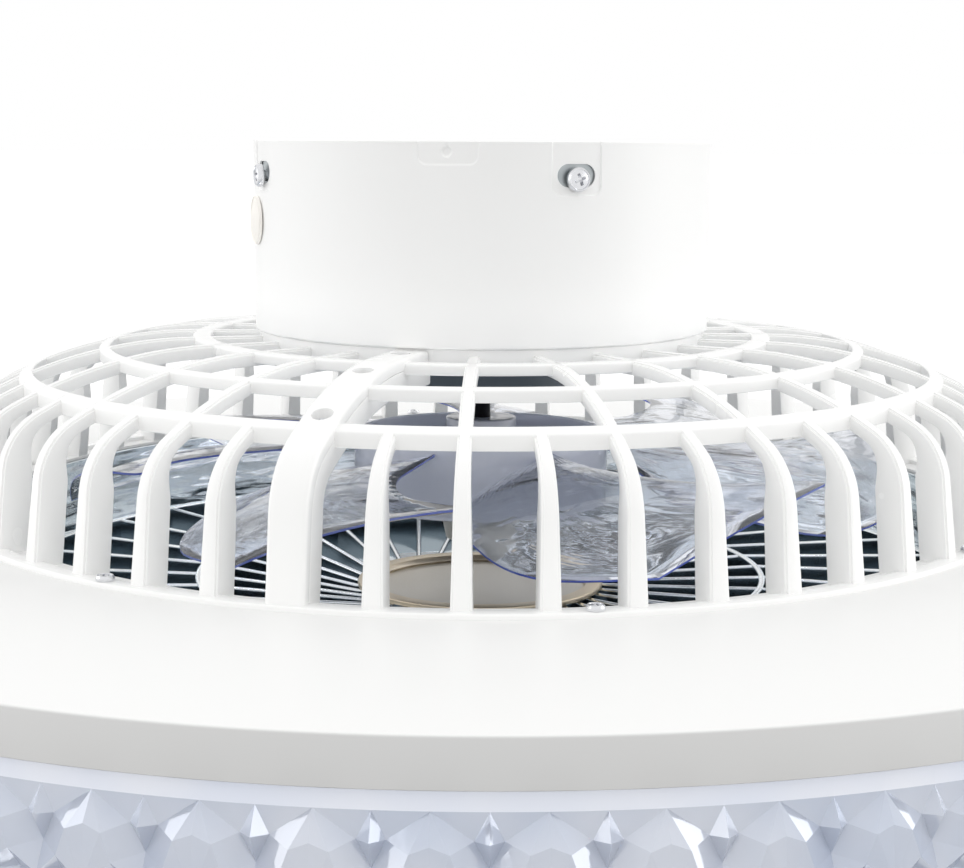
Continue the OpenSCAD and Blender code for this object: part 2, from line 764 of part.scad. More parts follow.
// One blade: a thin crowned sheet between a low and a high edge
module blade(index) {
    root_r = hub_r + blade_root_gap;
    tip_r = blade_tip_d / 2;
    turn = 360 / blade_count * index;
    row = chord_steps + 1;
    sheet = (span_steps + 1) * row;
    upper = [for (i = [0 : span_steps], j = [0 : chord_steps])
        let (share = i / span_steps, u = j / chord_steps, r = root_r + (tip_r - root_r) * share,
             low_a = curve(blade_share, low_angle, share), high_a = curve(blade_share, high_angle, share),
             low_z = curve(blade_share, low_fall, share), high_z = curve(blade_share, high_fall, share),
             a = turn + low_a + (high_a - low_a) * u,
             fall = low_z + (high_z - low_z) * u - blade_crown * min(1, 3 * share) * 4 * u * (1 - u))
        [r * sin(a), -r * cos(a), hub_rim_z - fall]];
    lower = [for (p = upper) p - [0, 0, blade_t]];
    cells = [for (i = [0 : span_steps - 1], j = [0 : chord_steps - 1]) i * row + j];
    // The outline of the sheet, walked once round
    border = concat([for (j = [0 : chord_steps - 1]) j],
                    [for (i = [0 : span_steps - 1]) i * row + chord_steps],
                    [for (j = [chord_steps : -1 : 1]) span_steps * row + j],
                    [for (i = [span_steps : -1 : 1]) i * row]);
    edge = len(border);
    faces = concat(
        [for (c = cells) each [[c, c + 1, c + row], [c + 1, c + row + 1, c + row]]],
        [for (c = cells) each [[sheet + c, sheet + c + row, sheet + c + 1],
                               [sheet + c + 1, sheet + c + row, sheet + c + row + 1]]],
        [for (k = [0 : edge - 1])
            let (a = border[k], b = border[(k + 1) % edge])
            each [[a, sheet + b, b], [a, sheet + a, sheet + b]]]);
    color("lightsteelblue") polyhedron(points = concat(upper, lower), faces = faces);
}

module hub_nut() {
    taper = 2.5;
    color("lightgray") rotate_extrude() polygon([
        [0, nut_bottom_z], [nut_d / 2 - taper - 1, nut_bottom_z], [nut_d / 2 - taper, nut_bottom_z + 1],
        [nut_d / 2, hub_bottom_z - 4], [nut_d / 2, hub_bottom_z - seat_gap],
        [shaft_r + thread_gap, hub_bottom_z - seat_gap], [shaft_r + thread_gap, shaft_bottom_z - seat_gap],
        [0, shaft_bottom_z - seat_gap]]);
}

// Cage and conduit

// A slat that widens towards its foot
module slat(start_r) {
    below = 1;
    top_z = cage_top_z + 1;
    shoulder_z = shoulder_centre[1] + shoulder_r;
    intersection() {
        rib_plate(slat_foot_w + 1, 0, rib_h, slat_depth, start_r, plate_z);
        translate([start_r - 1, 0, 0]) rotate([90, 0, 90]) linear_extrude(height = foot_r - start_r + 2)
            polygon([[-slat_top_w / 2, top_z], [-slat_top_w / 2, shoulder_z], [-slat_foot_w / 2, plate_z],
                     [-slat_foot_w / 2, plate_z - below], [slat_foot_w / 2, plate_z - below],
                     [slat_foot_w / 2, plate_z], [slat_top_w / 2, shoulder_z], [slat_top_w / 2, top_z]]);
    }
}

// A ring of the dome whose top follows the dome
module dome_ring(r, width, height) {
    rotate_extrude() polygon([
        [r - width, dome_z(r - width)], [r, dome_z(r)], [r, dome_z(r) - height],
        [r - width, dome_z(r - width) - height]]);
}

module cage() {
    tongue = 3;
    trough_start = collar_r - 2;
    color("white") difference() {
        union() {
            rotate_extrude() polygon([
                [collar_inner_r, drum_foot_z], [collar_r, drum_foot_z], [collar_r, collar_bottom_z],
                [collar_r - 4, collar_bottom_z], [collar_r - 4, drum_foot_z - collar_t],
                [collar_inner_r, drum_foot_z - collar_t]]);
            dome_ring(ring_a_r, 6.6, 3.6);
            dome_ring(ring_b_r, 8.5, 4);
            dome_ring(ring_s_r, 9, 5);
            ring(flange_outer_r, flange_inner_r, plate_z, plate_z + flange_t);
            for (i = [0 : slat_count - 1]) {
                at(first_slat_angle + slat_pitch * i) {
                    if (i != slat_count - 2) slat(i % 2 == 0 ? collar_r - 1 : ring_s_r - tongue);
                }
            }
            at(conduit_angle)
                rib_plate(conduit_w, cover_t, conduit_depth, conduit_foot_depth, trough_start, plate_z);
        }
        // Conduit: its channel, the bed of its cover and the lead's way in
        at(conduit_angle) {
            difference() {
                rib_plate(conduit_w - 2 * conduit_wall, -1, conduit_depth - conduit_wall,
                          conduit_foot_depth - conduit_wall, lead_hole_r, plate_z - 1);
                intersection() {
                    rib_plate(conduit_w, -2, post_depth, post_depth, lead_hole_r, plate_z);
                    for (r = conduit_screw_rs) {
                        translate([r - post_l / 2, -conduit_w / 2, plate_z]) cube([post_l, conduit_w, cage_h]);
                    }
                }
            }
            rib_plate(conduit_w + 2 * seat_gap, -1, cover_t, cover_t, collar_r, plate_z - 1);
            translate([lead_hole_r, 0, 0]) hole(lead_r + 1, drum_foot_z - collar_t - 6, drum_foot_z);
            for (r = conduit_screw_rs) {
                translate([r, 0, dome_z(r) - post_depth - 0.5])
                    cylinder(r = m3[0] + thread_gap, h = post_depth + 1);
            }
        }
        for (angle = collar_angles) {
            at(angle) translate([collar_screw_r, 0, 0])
                hole(m4[0] + thread_gap, drum_foot_z - collar_t, drum_foot_z);
        }
        for (i = [0 : foot_screw_count - 1]) {
            at(foot_screw_angle + 360 / foot_screw_count * i) translate([foot_screw_r, 0, 0])
                hole(m3[0] + screw_gap, plate_z, plate_z + flange_t);
        }
    }
}

module conduit_cover() {
    color("white") at(conduit_angle) difference() {
        rib_plate(conduit_w, 0, cover_t - seat_gap, cover_t - seat_gap, collar_r + seat_gap, plate_z + flange_t);
        for (r = conduit_screw_rs) {
            translate([r, 0, 0]) hole(m3[0] + screw_gap, dome_z(r) - 2 * cover_t, dome_z(r));
            translate([r, 0, dome_z(r) - conduit_pocket_h]) cylinder(r = m3[1] + 0.5, h = 6);
        }
    }
}

module conduit_screws() {
    color("silver") at(conduit_angle) for (r = conduit_screw_rs) {
        translate([r, 0, dome_z(r) - conduit_pocket_h]) screw(m3, post_depth - conduit_pocket_h);
    }
}

// The light's lead, from its driver through the conduit to the LED board
module led_lead() {
    bend = 6;
    driver_face_r = (case_side + case_w) / cos(conduit_angle) + lead_r;
    start_z = drum_floor_z + 8;
    down = cage_top_z - lead_depth;
    plug_z = board_bottom_z - connector_size[2] / 2;
    foot_line = cage_line(lead_depth, lead_foot_depth, lead_hole_r + bend, plate_z);
    foot_x = foot_r - lead_foot_depth;
    foot_bend = 3;
    color("white") at(conduit_angle) planar_tube(concat(
        [[driver_face_r, start_z]],
        arc([lead_hole_r - bend, start_z - bend], bend, 90, 0, 4),
        arc([lead_hole_r + bend, down + bend], bend, 180, 270, 4),
        [for (i = [1 : len(foot_line) - 1]) foot_line[i]],
        arc([foot_x + foot_bend, plug_z + foot_bend], foot_bend, 180, 270, 3),
        [[connector_r - seat_gap, plug_z]]), lead_r);
}

module cage_foot_screws() {
    color("silver") for (i = [0 : foot_screw_count - 1]) {
        at(foot_screw_angle + 360 / foot_screw_count * i) translate([foot_screw_r, 0, plate_z + flange_t])
            screw(m3, flange_t + plate_t + duct_flange_t + duct_boss_h - 1);
    }
}

// Base plate and light

module base_plate() {
    lead_x = foot_r - lead_foot_depth;
    color("white") difference() {
        rotate_extrude() polygon(concat(
            [[plate_hole_r, plate_under_z], [plate_hole_r, plate_z]],
            arc([plate_r - rim_edge_r, plate_z - rim_edge_r], rim_edge_r, 90, 0, 3),
            [[rim_bottom_r, rim_bottom_z], [rim_bottom_r - plate_t, rim_bottom_z],
             [plate_r - plate_t, plate_under_z]]));
        for (i = [0 : foot_screw_count - 1]) {
            at(foot_screw_angle + 360 / foot_screw_count * i) {
                translate([foot_screw_r, 0, 0]) hole(m3[0] + screw_gap, plate_under_z, plate_z);
                translate([board_screw_r, 0, 0]) hole(m3[0] + thread_gap, plate_under_z, plate_z);
            }
        }
        at(conduit_angle) translate([lead_x, 0, 0]) hole(lead_r + 0.6, plate_under_z, plate_z);
    }
}

module led_board() {
    color("whitesmoke") difference() {
        ring(board_or, board_ir, board_bottom_z, board_top_z);
        for (i = [0 : foot_screw_count - 1]) {
            at(foot_screw_angle + 360 / foot_screw_count * i) translate([board_screw_r, 0, 0])
                hole(m3[0] + screw_gap, board_bottom_z, board_top_z);
        }
    }
}

module led_chips() {
    chip = [3.5, 2.8, 0.8];
    color("lightyellow") for (r = led_rows, i = [0 : leds_per_row - 1]) {
        at(360 / leds_per_row * (i + 0.5))
            translate([r - chip[0] / 2, -chip[1] / 2, board_bottom_z - chip[2]]) cube(chip);
    }
}

module led_board_screws() {
    color("silver") for (i = [0 : foot_screw_count - 1]) {
        at(foot_screw_angle + 360 / foot_screw_count * i) translate([board_screw_r, 0, board_bottom_z])
            rotate([180, 0, 0]) screw(m3, board_t + plate_t - 0.2);
    }
}

module led_connector() {
    color("ivory") at(conduit_angle)
        translate([connector_r, -connector_size[1] / 2, board_bottom_z - connector_size[2]]) cube(connector_size);
}

// Spring clips under the base plate, which hook under the crystal ring's bead
module shade_clips() {
    leg_r = band_inner_r - bead_w - 0.4;
    foot_l = 14;
    hook_z = bead_top_z - bead_h - seat_gap;
    color("silver") for (i = [0 : clip_count - 1]) {
        at(360 / clip_count * i) rotate([90, 0, 0]) linear_extrude(height = clip_w, center = true)
            polygon([
                [leg_r - foot_l, board_top_z], [leg_r, board_top_z], [leg_r, hook_z],
                [leg_r + bead_w, hook_z], [leg_r + bead_w, hook_z - clip_t], [leg_r - clip_t, hook_z - clip_t],
                [leg_r - clip_t, board_top_z - clip_t], [leg_r - foot_l, board_top_z - clip_t]]);
    }
}

// The crystals' radius swings between crest and valley, and the swing flips from row to row
module crystal_ring() {
    steps = 2 * crystal_count;
    function swing(i, way) = crystal_cut * ((i % 2 == 0) == way ? 0 : 1);
    function section(i) = [
        [band_r, shade_top_z], [band_r, band_bottom_z],
        for (row = crystal_rows) [crystal_r - row[1] - swing(i, row[2]), band_bottom_z - row[0]],
        [crystal_foot_r, shade_bottom_z],
        [crystal_foot_r - lip_w, shade_bottom_z], [crystal_foot_r - lip_w, shade_bottom_z + shade_lip_t],
        [crystal_foot_r - crystal_wall, shade_bottom_z + shade_lip_t],
        [band_inner_r, band_bottom_z - crystal_inner_drop], [band_inner_r, bead_top_z - bead_h],
        [band_inner_r - bead_w, bead_top_z - bead_h], [band_inner_r - bead_w, bead_top_z],
        [band_inner_r, bead_top_z], [band_inner_r, shade_top_z]];
    n = len(section(0));
    points = [for (i = [0 : steps - 1], p = section(i))
        let (a = 360 / steps * i + 3.1) [p[0] * sin(a), -p[0] * cos(a), p[1]]];
    faces = [for (i = [0 : steps - 1], k = [0 : n - 1])
        let (a = i * n + k, b = i * n + (k + 1) % n, c = ((i + 1) % steps) * n + (k + 1) % n,
             d = ((i + 1) % steps) * n + k)
        each (i % 2 == 0 ? [[a, c, b], [a, d, c]] : [[a, d, b], [b, d, c]])];
    color("aliceblue") polyhedron(points = points, faces = faces);
}

module opal_diffuser() {
    color("white") ring(crystal_foot_r - crystal_wall - fit_gap, duct_outer_r + seat_gap,
                        opal_top_z - opal_t, opal_top_z);
}

// Air outlet

module duct_ring() {
    foot_flange_w = 10;
    foot_flange_r = duct_outer_r + foot_flange_w;
    boss_z = duct_top_z - duct_flange_t - duct_boss_h;
    color("silver") difference() {
        union() {
            rotate_extrude() polygon([
                [duct_r, duct_top_z], [duct_flange_r, duct_top_z], [duct_flange_r, duct_top_z - duct_flange_t],
                [duct_outer_r, duct_top_z - duct_flange_t], [duct_outer_r, shade_bottom_z + shade_lip_t],
                [foot_flange_r, shade_bottom_z + shade_lip_t], [foot_flange_r, shade_bottom_z],
                [duct_r, shade_bottom_z], [duct_r, grille_bottom_z - seat_gap - ledge_h],
                [duct_r - ledge_w, grille_bottom_z - seat_gap - ledge_h],
                [duct_r - ledge_w, grille_bottom_z - seat_gap], [duct_r, grille_bottom_z - seat_gap]]);
            for (i = [0 : foot_screw_count - 1]) {
                at(foot_screw_angle + 360 / foot_screw_count * i) translate([foot_screw_r, 0, boss_z])
                    cylinder(r = duct_boss_r, h = duct_boss_h + eps);
            }
        }
        for (i = [0 : foot_screw_count - 1]) {
            at(foot_screw_angle + 360 / foot_screw_count * i) translate([foot_screw_r, 0, 0])
                hole(m3[0] + thread_gap, boss_z + 1.6, duct_top_z);
        }
        at(conduit_angle) translate([duct_outer_r + 0.3, -lead_r - 1.2, duct_top_z - duct_flange_t - 1])
            cube([duct_flange_r, 2 * (lead_r + 1.2), duct_flange_t + 2]);
    }
}

// Straight fins between the inner, middle and outer rings of the grille, each passing beside the axis
module lower_grille() {
    // Distance along a fin's line at a radius
    function along(r) = sqrt(r * r - fin_offset * fin_offset);
    fin_start = along(inner_ring_r - fin_root);
    fin_end = along(grille_rim_r - 1);
    foot_z = grille_bottom_z + fin_inset;
    top_z = grille_top_z - fin_inset;
    dip_z = dish_top_z - fin_inset;
    color("gainsboro") {
        ring(grille_rim_r, grille_rim_r - grille_rim_t, grille_bottom_z, grille_top_z);
        ring(mid_ring_r + mid_ring_t / 2, mid_ring_r - mid_ring_t / 2, grille_bottom_z, grille_top_z);
        ring(inner_ring_r, inner_ring_r - inner_ring_t, grille_bottom_z, dish_top_z);
        for (i = [0 : fin_count - 1]) {
            at(fin_phase + 360 / fin_count * i) translate([0, fin_offset, 0]) rotate([90, 0, 0])
                linear_extrude(height = fin_t, center = true) polygon([
                    [fin_start, foot_z], [fin_end, foot_z], [fin_end, top_z], [along(mid_ring_r), top_z],
                    [along(disc_r + 1), dip_z], [fin_start, dip_z]]);
        }
    }
}

// A drawn metal dish whose raised rim lies on the inner ring and covers the fins' ends
module centre_disc() {
    seat_z = dish_top_z + seat_gap;
    rim_top_z = seat_z + disc_rim_h;
    dish_r = disc_r - disc_rim_w;
    color("tan") rotate_extrude() polygon(concat(
        [[0, rim_top_z - disc_sink - disc_t], [dish_r + 1, rim_top_z - disc_sink - disc_t],
         [dish_r + 2.2, seat_z], [disc_r, seat_z]],
        arc([disc_r - disc_rim_h, seat_z], disc_rim_h, 30, 90, 3),
        [[dish_r + 1.2, rim_top_z], [dish_r, rim_top_z - disc_sink], [0, rim_top_z - disc_sink]]));
}

ceiling_bracket();
canopy_drum();
canopy_screws();
side_plug();
terminal_block();
controller_box();
led_driver();
canopy_wires();
collar_screws();
motor_plate();
motor_screws();
motor_housing();
housing_screws();
stator_core();
stator_coils();
upper_bearing();
lower_bearing();
motor_lead();
motor_shaft();
rotor_core();
rotor_magnet();
thrust_washers();
drive_pin();
impeller_hub();
blade(0);  // blade_1
blade(1);  // blade_2
blade(2);  // blade_3
blade(3);  // blade_4
blade(4);  // blade_5
blade(5);  // blade_6
blade(6);  // blade_7
hub_nut();
cage();
conduit_cover();
conduit_screws();
led_lead();
cage_foot_screws();
base_plate();
led_board();
led_chips();
led_board_screws();
led_connector();
shade_clips();
crystal_ring();
opal_diffuser();
duct_ring();
lower_grille();
centre_disc();
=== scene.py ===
# Enclosed ceiling fan with a ring light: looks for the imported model
# Sizes are in millimetres in the dictionaries and in metres in the meshes.
# Angles run from the front (-Y) towards the right (+X), counterclockwise seen from above.
import math

import bmesh
import bpy
from mathutils import Matrix, Vector


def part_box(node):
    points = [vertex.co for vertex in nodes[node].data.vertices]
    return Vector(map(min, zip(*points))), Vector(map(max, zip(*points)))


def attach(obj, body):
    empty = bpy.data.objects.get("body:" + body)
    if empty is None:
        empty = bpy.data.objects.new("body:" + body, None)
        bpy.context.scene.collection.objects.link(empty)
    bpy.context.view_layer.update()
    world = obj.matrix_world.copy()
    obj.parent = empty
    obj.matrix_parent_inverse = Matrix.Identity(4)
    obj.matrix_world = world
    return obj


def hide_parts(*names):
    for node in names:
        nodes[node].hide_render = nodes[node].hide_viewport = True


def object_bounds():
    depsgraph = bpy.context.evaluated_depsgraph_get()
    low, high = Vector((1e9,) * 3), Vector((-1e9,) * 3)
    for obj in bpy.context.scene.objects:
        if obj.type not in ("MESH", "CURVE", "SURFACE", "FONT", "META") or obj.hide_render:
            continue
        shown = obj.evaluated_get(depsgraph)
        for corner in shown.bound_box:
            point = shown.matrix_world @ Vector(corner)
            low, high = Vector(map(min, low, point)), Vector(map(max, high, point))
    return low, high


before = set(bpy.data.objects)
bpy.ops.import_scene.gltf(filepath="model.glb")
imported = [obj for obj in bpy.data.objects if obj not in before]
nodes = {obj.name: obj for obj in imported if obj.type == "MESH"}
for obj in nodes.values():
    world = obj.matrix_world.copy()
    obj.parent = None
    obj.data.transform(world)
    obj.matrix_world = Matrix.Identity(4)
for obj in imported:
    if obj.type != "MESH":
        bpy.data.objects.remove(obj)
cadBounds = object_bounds()
mm = 0.001
scene = bpy.context.scene


def top(node):
    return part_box(node)[1].z / mm


def bottom(node):
    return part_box(node)[0].z / mm


# Camera, as fitted to the photo

photoCamera = {
    "place": (0.08, -688.22, -0.17),
    "lens": 69.84,
    "pitchDown": 8.892,
    "yaw": -0.03,
    "roll": 0.298,
}


def placeCamera(spec):
    data = bpy.data.cameras.new("photoCamera")
    data.lens = spec["lens"]
    data.sensor_width = 36
    data.clip_start = 0.02
    data.clip_end = 100
    camera = bpy.data.objects.new("photoCamera", data)
    scene.collection.objects.link(camera)
    turn = Matrix.Rotation(math.radians(spec["yaw"]), 4, "Z")
    turn @= Matrix.Rotation(math.radians(90 - spec["pitchDown"]), 4, "X")
    turn @= Matrix.Rotation(math.radians(spec["roll"]), 4, "Z")
    camera.matrix_world = Matrix.Translation(Vector(spec["place"]) * mm) @ turn
    scene.camera = camera


placeCamera(photoCamera)
print("camera placed")

# Materials


def linear(hexColour):
    parts = [int(hexColour[i:i + 2], 16) / 255 for i in (1, 3, 5)]
    return [c / 12.92 if c <= 0.04045 else ((c + 0.055) / 1.055) ** 2.4 for c in parts] + [1]


# Add one node, set what is given, and link the inputs that are sockets
def addNode(tree, kind, inputs=None, **settings):
    node = tree.nodes.new(kind)
    for name, value in settings.items():
        setattr(node, name, value)
    for name, value in (inputs or {}).items():
        if isinstance(value, bpy.types.NodeSocket):
            tree.links.new(value, node.inputs[name])
        else:
            node.inputs[name].default_value = value
    return node


# One when any of the given sockets is
def anyOf(tree, *sockets):
    result = sockets[0]
    for socket in sockets[1:]:
        either = addNode(tree, "ShaderNodeMath", {0: result, 1: socket}, operation="MAXIMUM")
        result = either.outputs["Value"]
    return result


# A material with its shader; the sockets hold the values that are the same all over
def startMaterial(name, colour, roughness, **sockets):
    material = bpy.data.materials.new(name)
    material.use_nodes = True
    tree = material.node_tree
    shader = tree.nodes["Principled BSDF"]
    shader.inputs["Base Color"].default_value = linear(colour)
    shader.inputs["Roughness"].default_value = roughness
    for name, value in sockets.items():
        shader.inputs[name.replace("_", " ")].default_value = value
    return material, tree, shader


# Noise with grains of a real size; stretch squeezes it along an axis
def grain(tree, size, detail=2, stretch=(1, 1, 1), source="Object"):
    place = addNode(tree, "ShaderNodeTexCoord")
    spread = addNode(tree, "ShaderNodeMapping", {"Vector": place.outputs[source], "Scale": stretch})
    return addNode(tree, "ShaderNodeTexNoise",
                   {"Vector": spread.outputs["Vector"], "Scale": 1 / (size * mm), "Detail": detail})


def addBump(tree, shader, height, depth):
    bump = addNode(tree, "ShaderNodeBump", {"Height": height, "Distance": depth * mm, "Strength": 1})
    tree.links.new(bump.outputs["Normal"], shader.inputs["Normal"])


def varyRoughness(tree, shader, value, low, high):
    spread = addNode(tree, "ShaderNodeMapRange", {"Value": value, "To Min": low, "To Max": high})
    tree.links.new(spread.outputs["Result"], shader.inputs["Roughness"])


def varyColour(tree, shader, value, dark, light, fromMin=0.35, fromMax=0.65):
    spread = addNode(tree, "ShaderNodeMapRange", {"Value": value, "From Min": fromMin, "From Max": fromMax})
    mix = addNode(tree, "ShaderNodeMix", {"Factor": spread.outputs["Result"], "A": linear(dark),
                                          "B": linear(light)}, data_type="RGBA")
    tree.links.new(mix.outputs["Result"], shader.inputs["Base Color"])


# Polyester powder coat on steel: an even satin white with a very fine orange peel
def powderCoat(name, colour, roughness):
    material, tree, shader = startMaterial(name, colour, roughness, IOR=1.5)
    peel = grain(tree, 1.6)
    addBump(tree, shader, peel.outputs["Fac"], 0.012)
    varyRoughness(tree, shader, grain(tree, 30).outputs["Fac"], roughness - 0.05, roughness + 0.05)
    return material


# Injection moulded ABS: glossy white, with the faint flow waves of a large moulding
def glossyAbs(name, colour, roughness):
    material, tree, shader = startMaterial(name, colour, roughness, IOR=1.54)
    addBump(tree, shader, grain(tree, 14).outputs["Fac"], 0.006)
    varyRoughness(tree, shader, grain(tree, 25).outputs["Fac"], roughness - 0.01, roughness + 0.01)
    return material


# Hot dip galvanised sheet: grey metal with soft spangles
def galvanisedSheet():
    material, tree, shader = startMaterial("galvanisedSheet", "#aab0b3", 0.4, Metallic=1)
    place = addNode(tree, "ShaderNodeTexCoord")
    spangle = addNode(tree, "ShaderNodeTexVoronoi",
                      {"Vector": place.outputs["Object"], "Scale": 1 / (5 * mm)})
    varyColour(tree, shader, spangle.outputs["Distance"], "#8f979b", "#c3c8ca", 0, 0.8)
    varyRoughness(tree, shader, spangle.outputs["Distance"], 0.3, 0.5)
    return material


# Turned, ground or plated metal: one tone with fine scratches that break the gloss
def plainMetal(name, colour, roughness, scratch=0.3, size=0.8, stretch=(1, 1, 6)):
    material, tree, shader = startMaterial(name, colour, roughness, Metallic=1)
    lines = grain(tree, size, 3, stretch)
    varyRoughness(tree, shader, lines.outputs["Fac"], roughness * (1 - scratch), roughness * (1 + scratch))
    addBump(tree, shader, lines.outputs["Fac"], 0.004)
    return material


# Chrome plated ABS: mirror-like, slightly blue, with the wavy surface of plated plastic
def chromePlate(name, colour, roughness, wave, size, stretch):
    material, tree, shader = startMaterial(name, colour, roughness, Metallic=1)
    addBump(tree, shader, grain(tree, size, 1.5, stretch).outputs["Fac"], wave)
    varyRoughness(tree, shader, grain(tree, 6).outputs["Fac"], roughness * 0.6, roughness * 1.5)
    return material


# Chrome on deep ribs, with painted light: a painted highlight on faces that point up, painted shade down the
# sides
def ribChromePaintedShade():
    material, tree, shader = startMaterial("ribChromePaintedShade", "#c3cbd0", 0.16, Metallic=1)
    addBump(tree, shader, grain(tree, 14, 1).outputs["Fac"], 0.03)
    face = addNode(tree, "ShaderNodeNewGeometry")
    split = addNode(tree, "ShaderNodeSeparateXYZ", {"Vector": face.outputs["Normal"]})
    # Painted highlight and shade: the colour goes from dark on the upright sides to light where the surface
    # faces up
    varyColour(tree, shader, split.outputs["Z"], "#98a3aa", "#f4f6f7", 0.1, 0.45)
    return material


# Satin anodised metal in champagne, brushed in circles; the rim is warmer than the flat middle
def champagneMetal(middleR):
    material, tree, shader = startMaterial("champagneMetal", "#b7a795", 0.34, Metallic=1)
    place = addNode(tree, "ShaderNodeTexCoord")
    split = addNode(tree, "ShaderNodeSeparateXYZ", {"Vector": place.outputs["Object"]})
    flat = addNode(tree, "ShaderNodeCombineXYZ", {"X": split.outputs["X"], "Y": split.outputs["Y"]})
    radius = addNode(tree, "ShaderNodeVectorMath", {0: flat.outputs["Vector"]}, operation="LENGTH")
    rings = addNode(tree, "ShaderNodeTexNoise", {"W": radius.outputs["Value"], "Scale": 1 / (0.5 * mm),
                                                "Detail": 4}, noise_dimensions="1D")
    addBump(tree, shader, rings.outputs["Fac"], 0.01)
    varyRoughness(tree, shader, rings.outputs["Fac"], 0.28, 0.42)
    varyColour(tree, shader, radius.outputs["Value"], "#cdc7bb", "#d8c9b0", (middleR - 1) * mm,
               (middleR + 1) * mm)
    return material


# Clear polycarbonate with a trace of blue and a milky haze; patches of ripples break the reflections
def clearPolycarbonate(name, colour, haze, ripple, size, stretch, source="Object"):
    material, tree, shader = startMaterial(name, colour, 0.04, IOR=1.585)
    shader.inputs["Transmission Weight"].default_value = 1 - haze
    waves = grain(tree, size, 2.5, stretch, source)
    patches = addNode(tree, "ShaderNodeMapRange", {"Value": grain(tree, 22).outputs["Fac"], "From Min": 0.42,
                                                   "From Max": 0.62})
    height = addNode(tree, "ShaderNodeMath", {0: waves.outputs["Fac"], 1: patches.outputs["Result"]},
                     operation="MULTIPLY")
    addBump(tree, shader, height.outputs["Value"], ripple)
    return material


# The edge of the same sheet, where the blue tint gathers
def blueEdge():
    material, tree, shader = startMaterial("blueEdge", "#5b6fd0", 0.2, IOR=1.585)
    shader.inputs["Transmission Weight"].default_value = 0.4
    varyColour(tree, shader, grain(tree, 16).outputs["Fac"], "#4a5fc6", "#8496e2")
    return material


# Cast acrylic crystals: hard edged and glossy, a milky bluish white that lets a little through
def crystalAcrylic():
    material, tree, shader = startMaterial("crystalAcrylic", "#eef1fb", 0.06, IOR=1.49, Metallic=0.25)
    shader.inputs["Transmission Weight"].default_value = 0.22
    shader.inputs["Coat Weight"].default_value = 0.6
    shader.inputs["Coat Roughness"].default_value = 0.02
    addBump(tree, shader, grain(tree, 5).outputs["Fac"], 0.02)
    varyColour(tree, shader, grain(tree, 30).outputs["Fac"], "#dbe3f3", "#e9eef9")
    return material


# The same acrylic where it is smooth, with a fine etch; a faint painted glow makes it give off light though
# no lamp lights it
def frostedAcrylicPaintedGlow():
    material, tree, shader = startMaterial("frostedAcrylicPaintedGlow", "#f1f4fd", 0.2, IOR=1.49, Metallic=0.3)
    # Painted glow: a faint bluish emission; nothing in the scene lights the band from inside
    shader.inputs["Emission Color"].default_value = linear("#e6ecfb")
    shader.inputs["Emission Strength"].default_value = 0.1
    addBump(tree, shader, grain(tree, 0.8).outputs["Fac"], 0.004)
    varyColour(tree, shader, grain(tree, 40).outputs["Fac"], "#eaeffb", "#f6f8fe")
    return material


# Opal acrylic sheet: milky, lets light through without showing what is behind
def opalAcrylic():
    material, tree, shader = startMaterial("opalAcrylic", "#f4f5f3", 0.25, IOR=1.49)
    shader.inputs["Transmission Weight"].default_value = 0.2
    shader.inputs["Subsurface Weight"].default_value = 0.4
    shader.inputs["Subsurface Scale"].default_value = 0.004
    addBump(tree, shader, grain(tree, 2).outputs["Fac"], 0.01)
    return material


# Soft moulded or extruded plastic with a fine mould texture
def softPlastic(name, colour, roughness, size=0.7, depth=0.015):
    material, tree, shader = startMaterial(name, colour, roughness, IOR=1.5)
    addBump(tree, shader, grain(tree, size, 3).outputs["Fac"], depth)
    varyRoughness(tree, shader, grain(tree, 10).outputs["Fac"], roughness - 0.06, roughness + 0.06)
    return material


# Stamped and stacked electrical steel: thin layers lie one on the other
def laminations():
    material, tree, shader = startMaterial("laminations", "#6d6f72", 0.4, Metallic=1)
    place = addNode(tree, "ShaderNodeTexCoord")
    layers = addNode(tree, "ShaderNodeTexWave", {"Vector": place.outputs["Object"], "Scale": 1 / (3.2 * mm)},
                     bands_direction="Z")
    addBump(tree, shader, layers.outputs["Fac"], 0.05)
    varyColour(tree, shader, layers.outputs["Fac"], "#4b4d50", "#85878a", 0, 1)
    return material


# Enamelled copper wire, wound in close layers
def copperWinding():
    material, tree, shader = startMaterial("copperWinding", "#b5623a", 0.3, Metallic=1)
    place = addNode(tree, "ShaderNodeTexCoord")
    strands = addNode(tree, "ShaderNodeTexWave", {"Vector": place.outputs["Object"], "Scale": 1 / (2.4 * mm)},
                      bands_direction="DIAGONAL")
    addBump(tree, shader, strands.outputs["Fac"], 0.15)
    varyColour(tree, shader, strands.outputs["Fac"], "#8e4626", "#cf7a4c", 0, 1)
    return material


# Two copies of the same white coat: the plate's greyer copy is painted shade, which darkens the plate's rim
# and top
canopyPaint = powderCoat("canopyPowderCoat", "#fefefd", 0.42)
plateCoatPaintedShade = powderCoat("platePowderCoatPaintedShade", "#efefee", 0.5)
cageAbs = glossyAbs("whiteAbs", "#f8f8f7", 0.27)
motorPaint = powderCoat("motorEnamel", "#505c66", 0.4)
galvanised = galvanisedSheet()
zincPlate = plainMetal("zincPlate", "#e2e3e6", 0.24)
groundSteel = plainMetal("groundSteel", "#b9bcc0", 0.24)
springSteel = plainMetal("springSteel", "#a3a7ab", 0.32)
blackSteel = plainMetal("blackenedSteel", "#1d1d20", 0.3, stretch=(1, 1, 9))
brass = plainMetal("stampedBrass", "#c9a75e", 0.28)
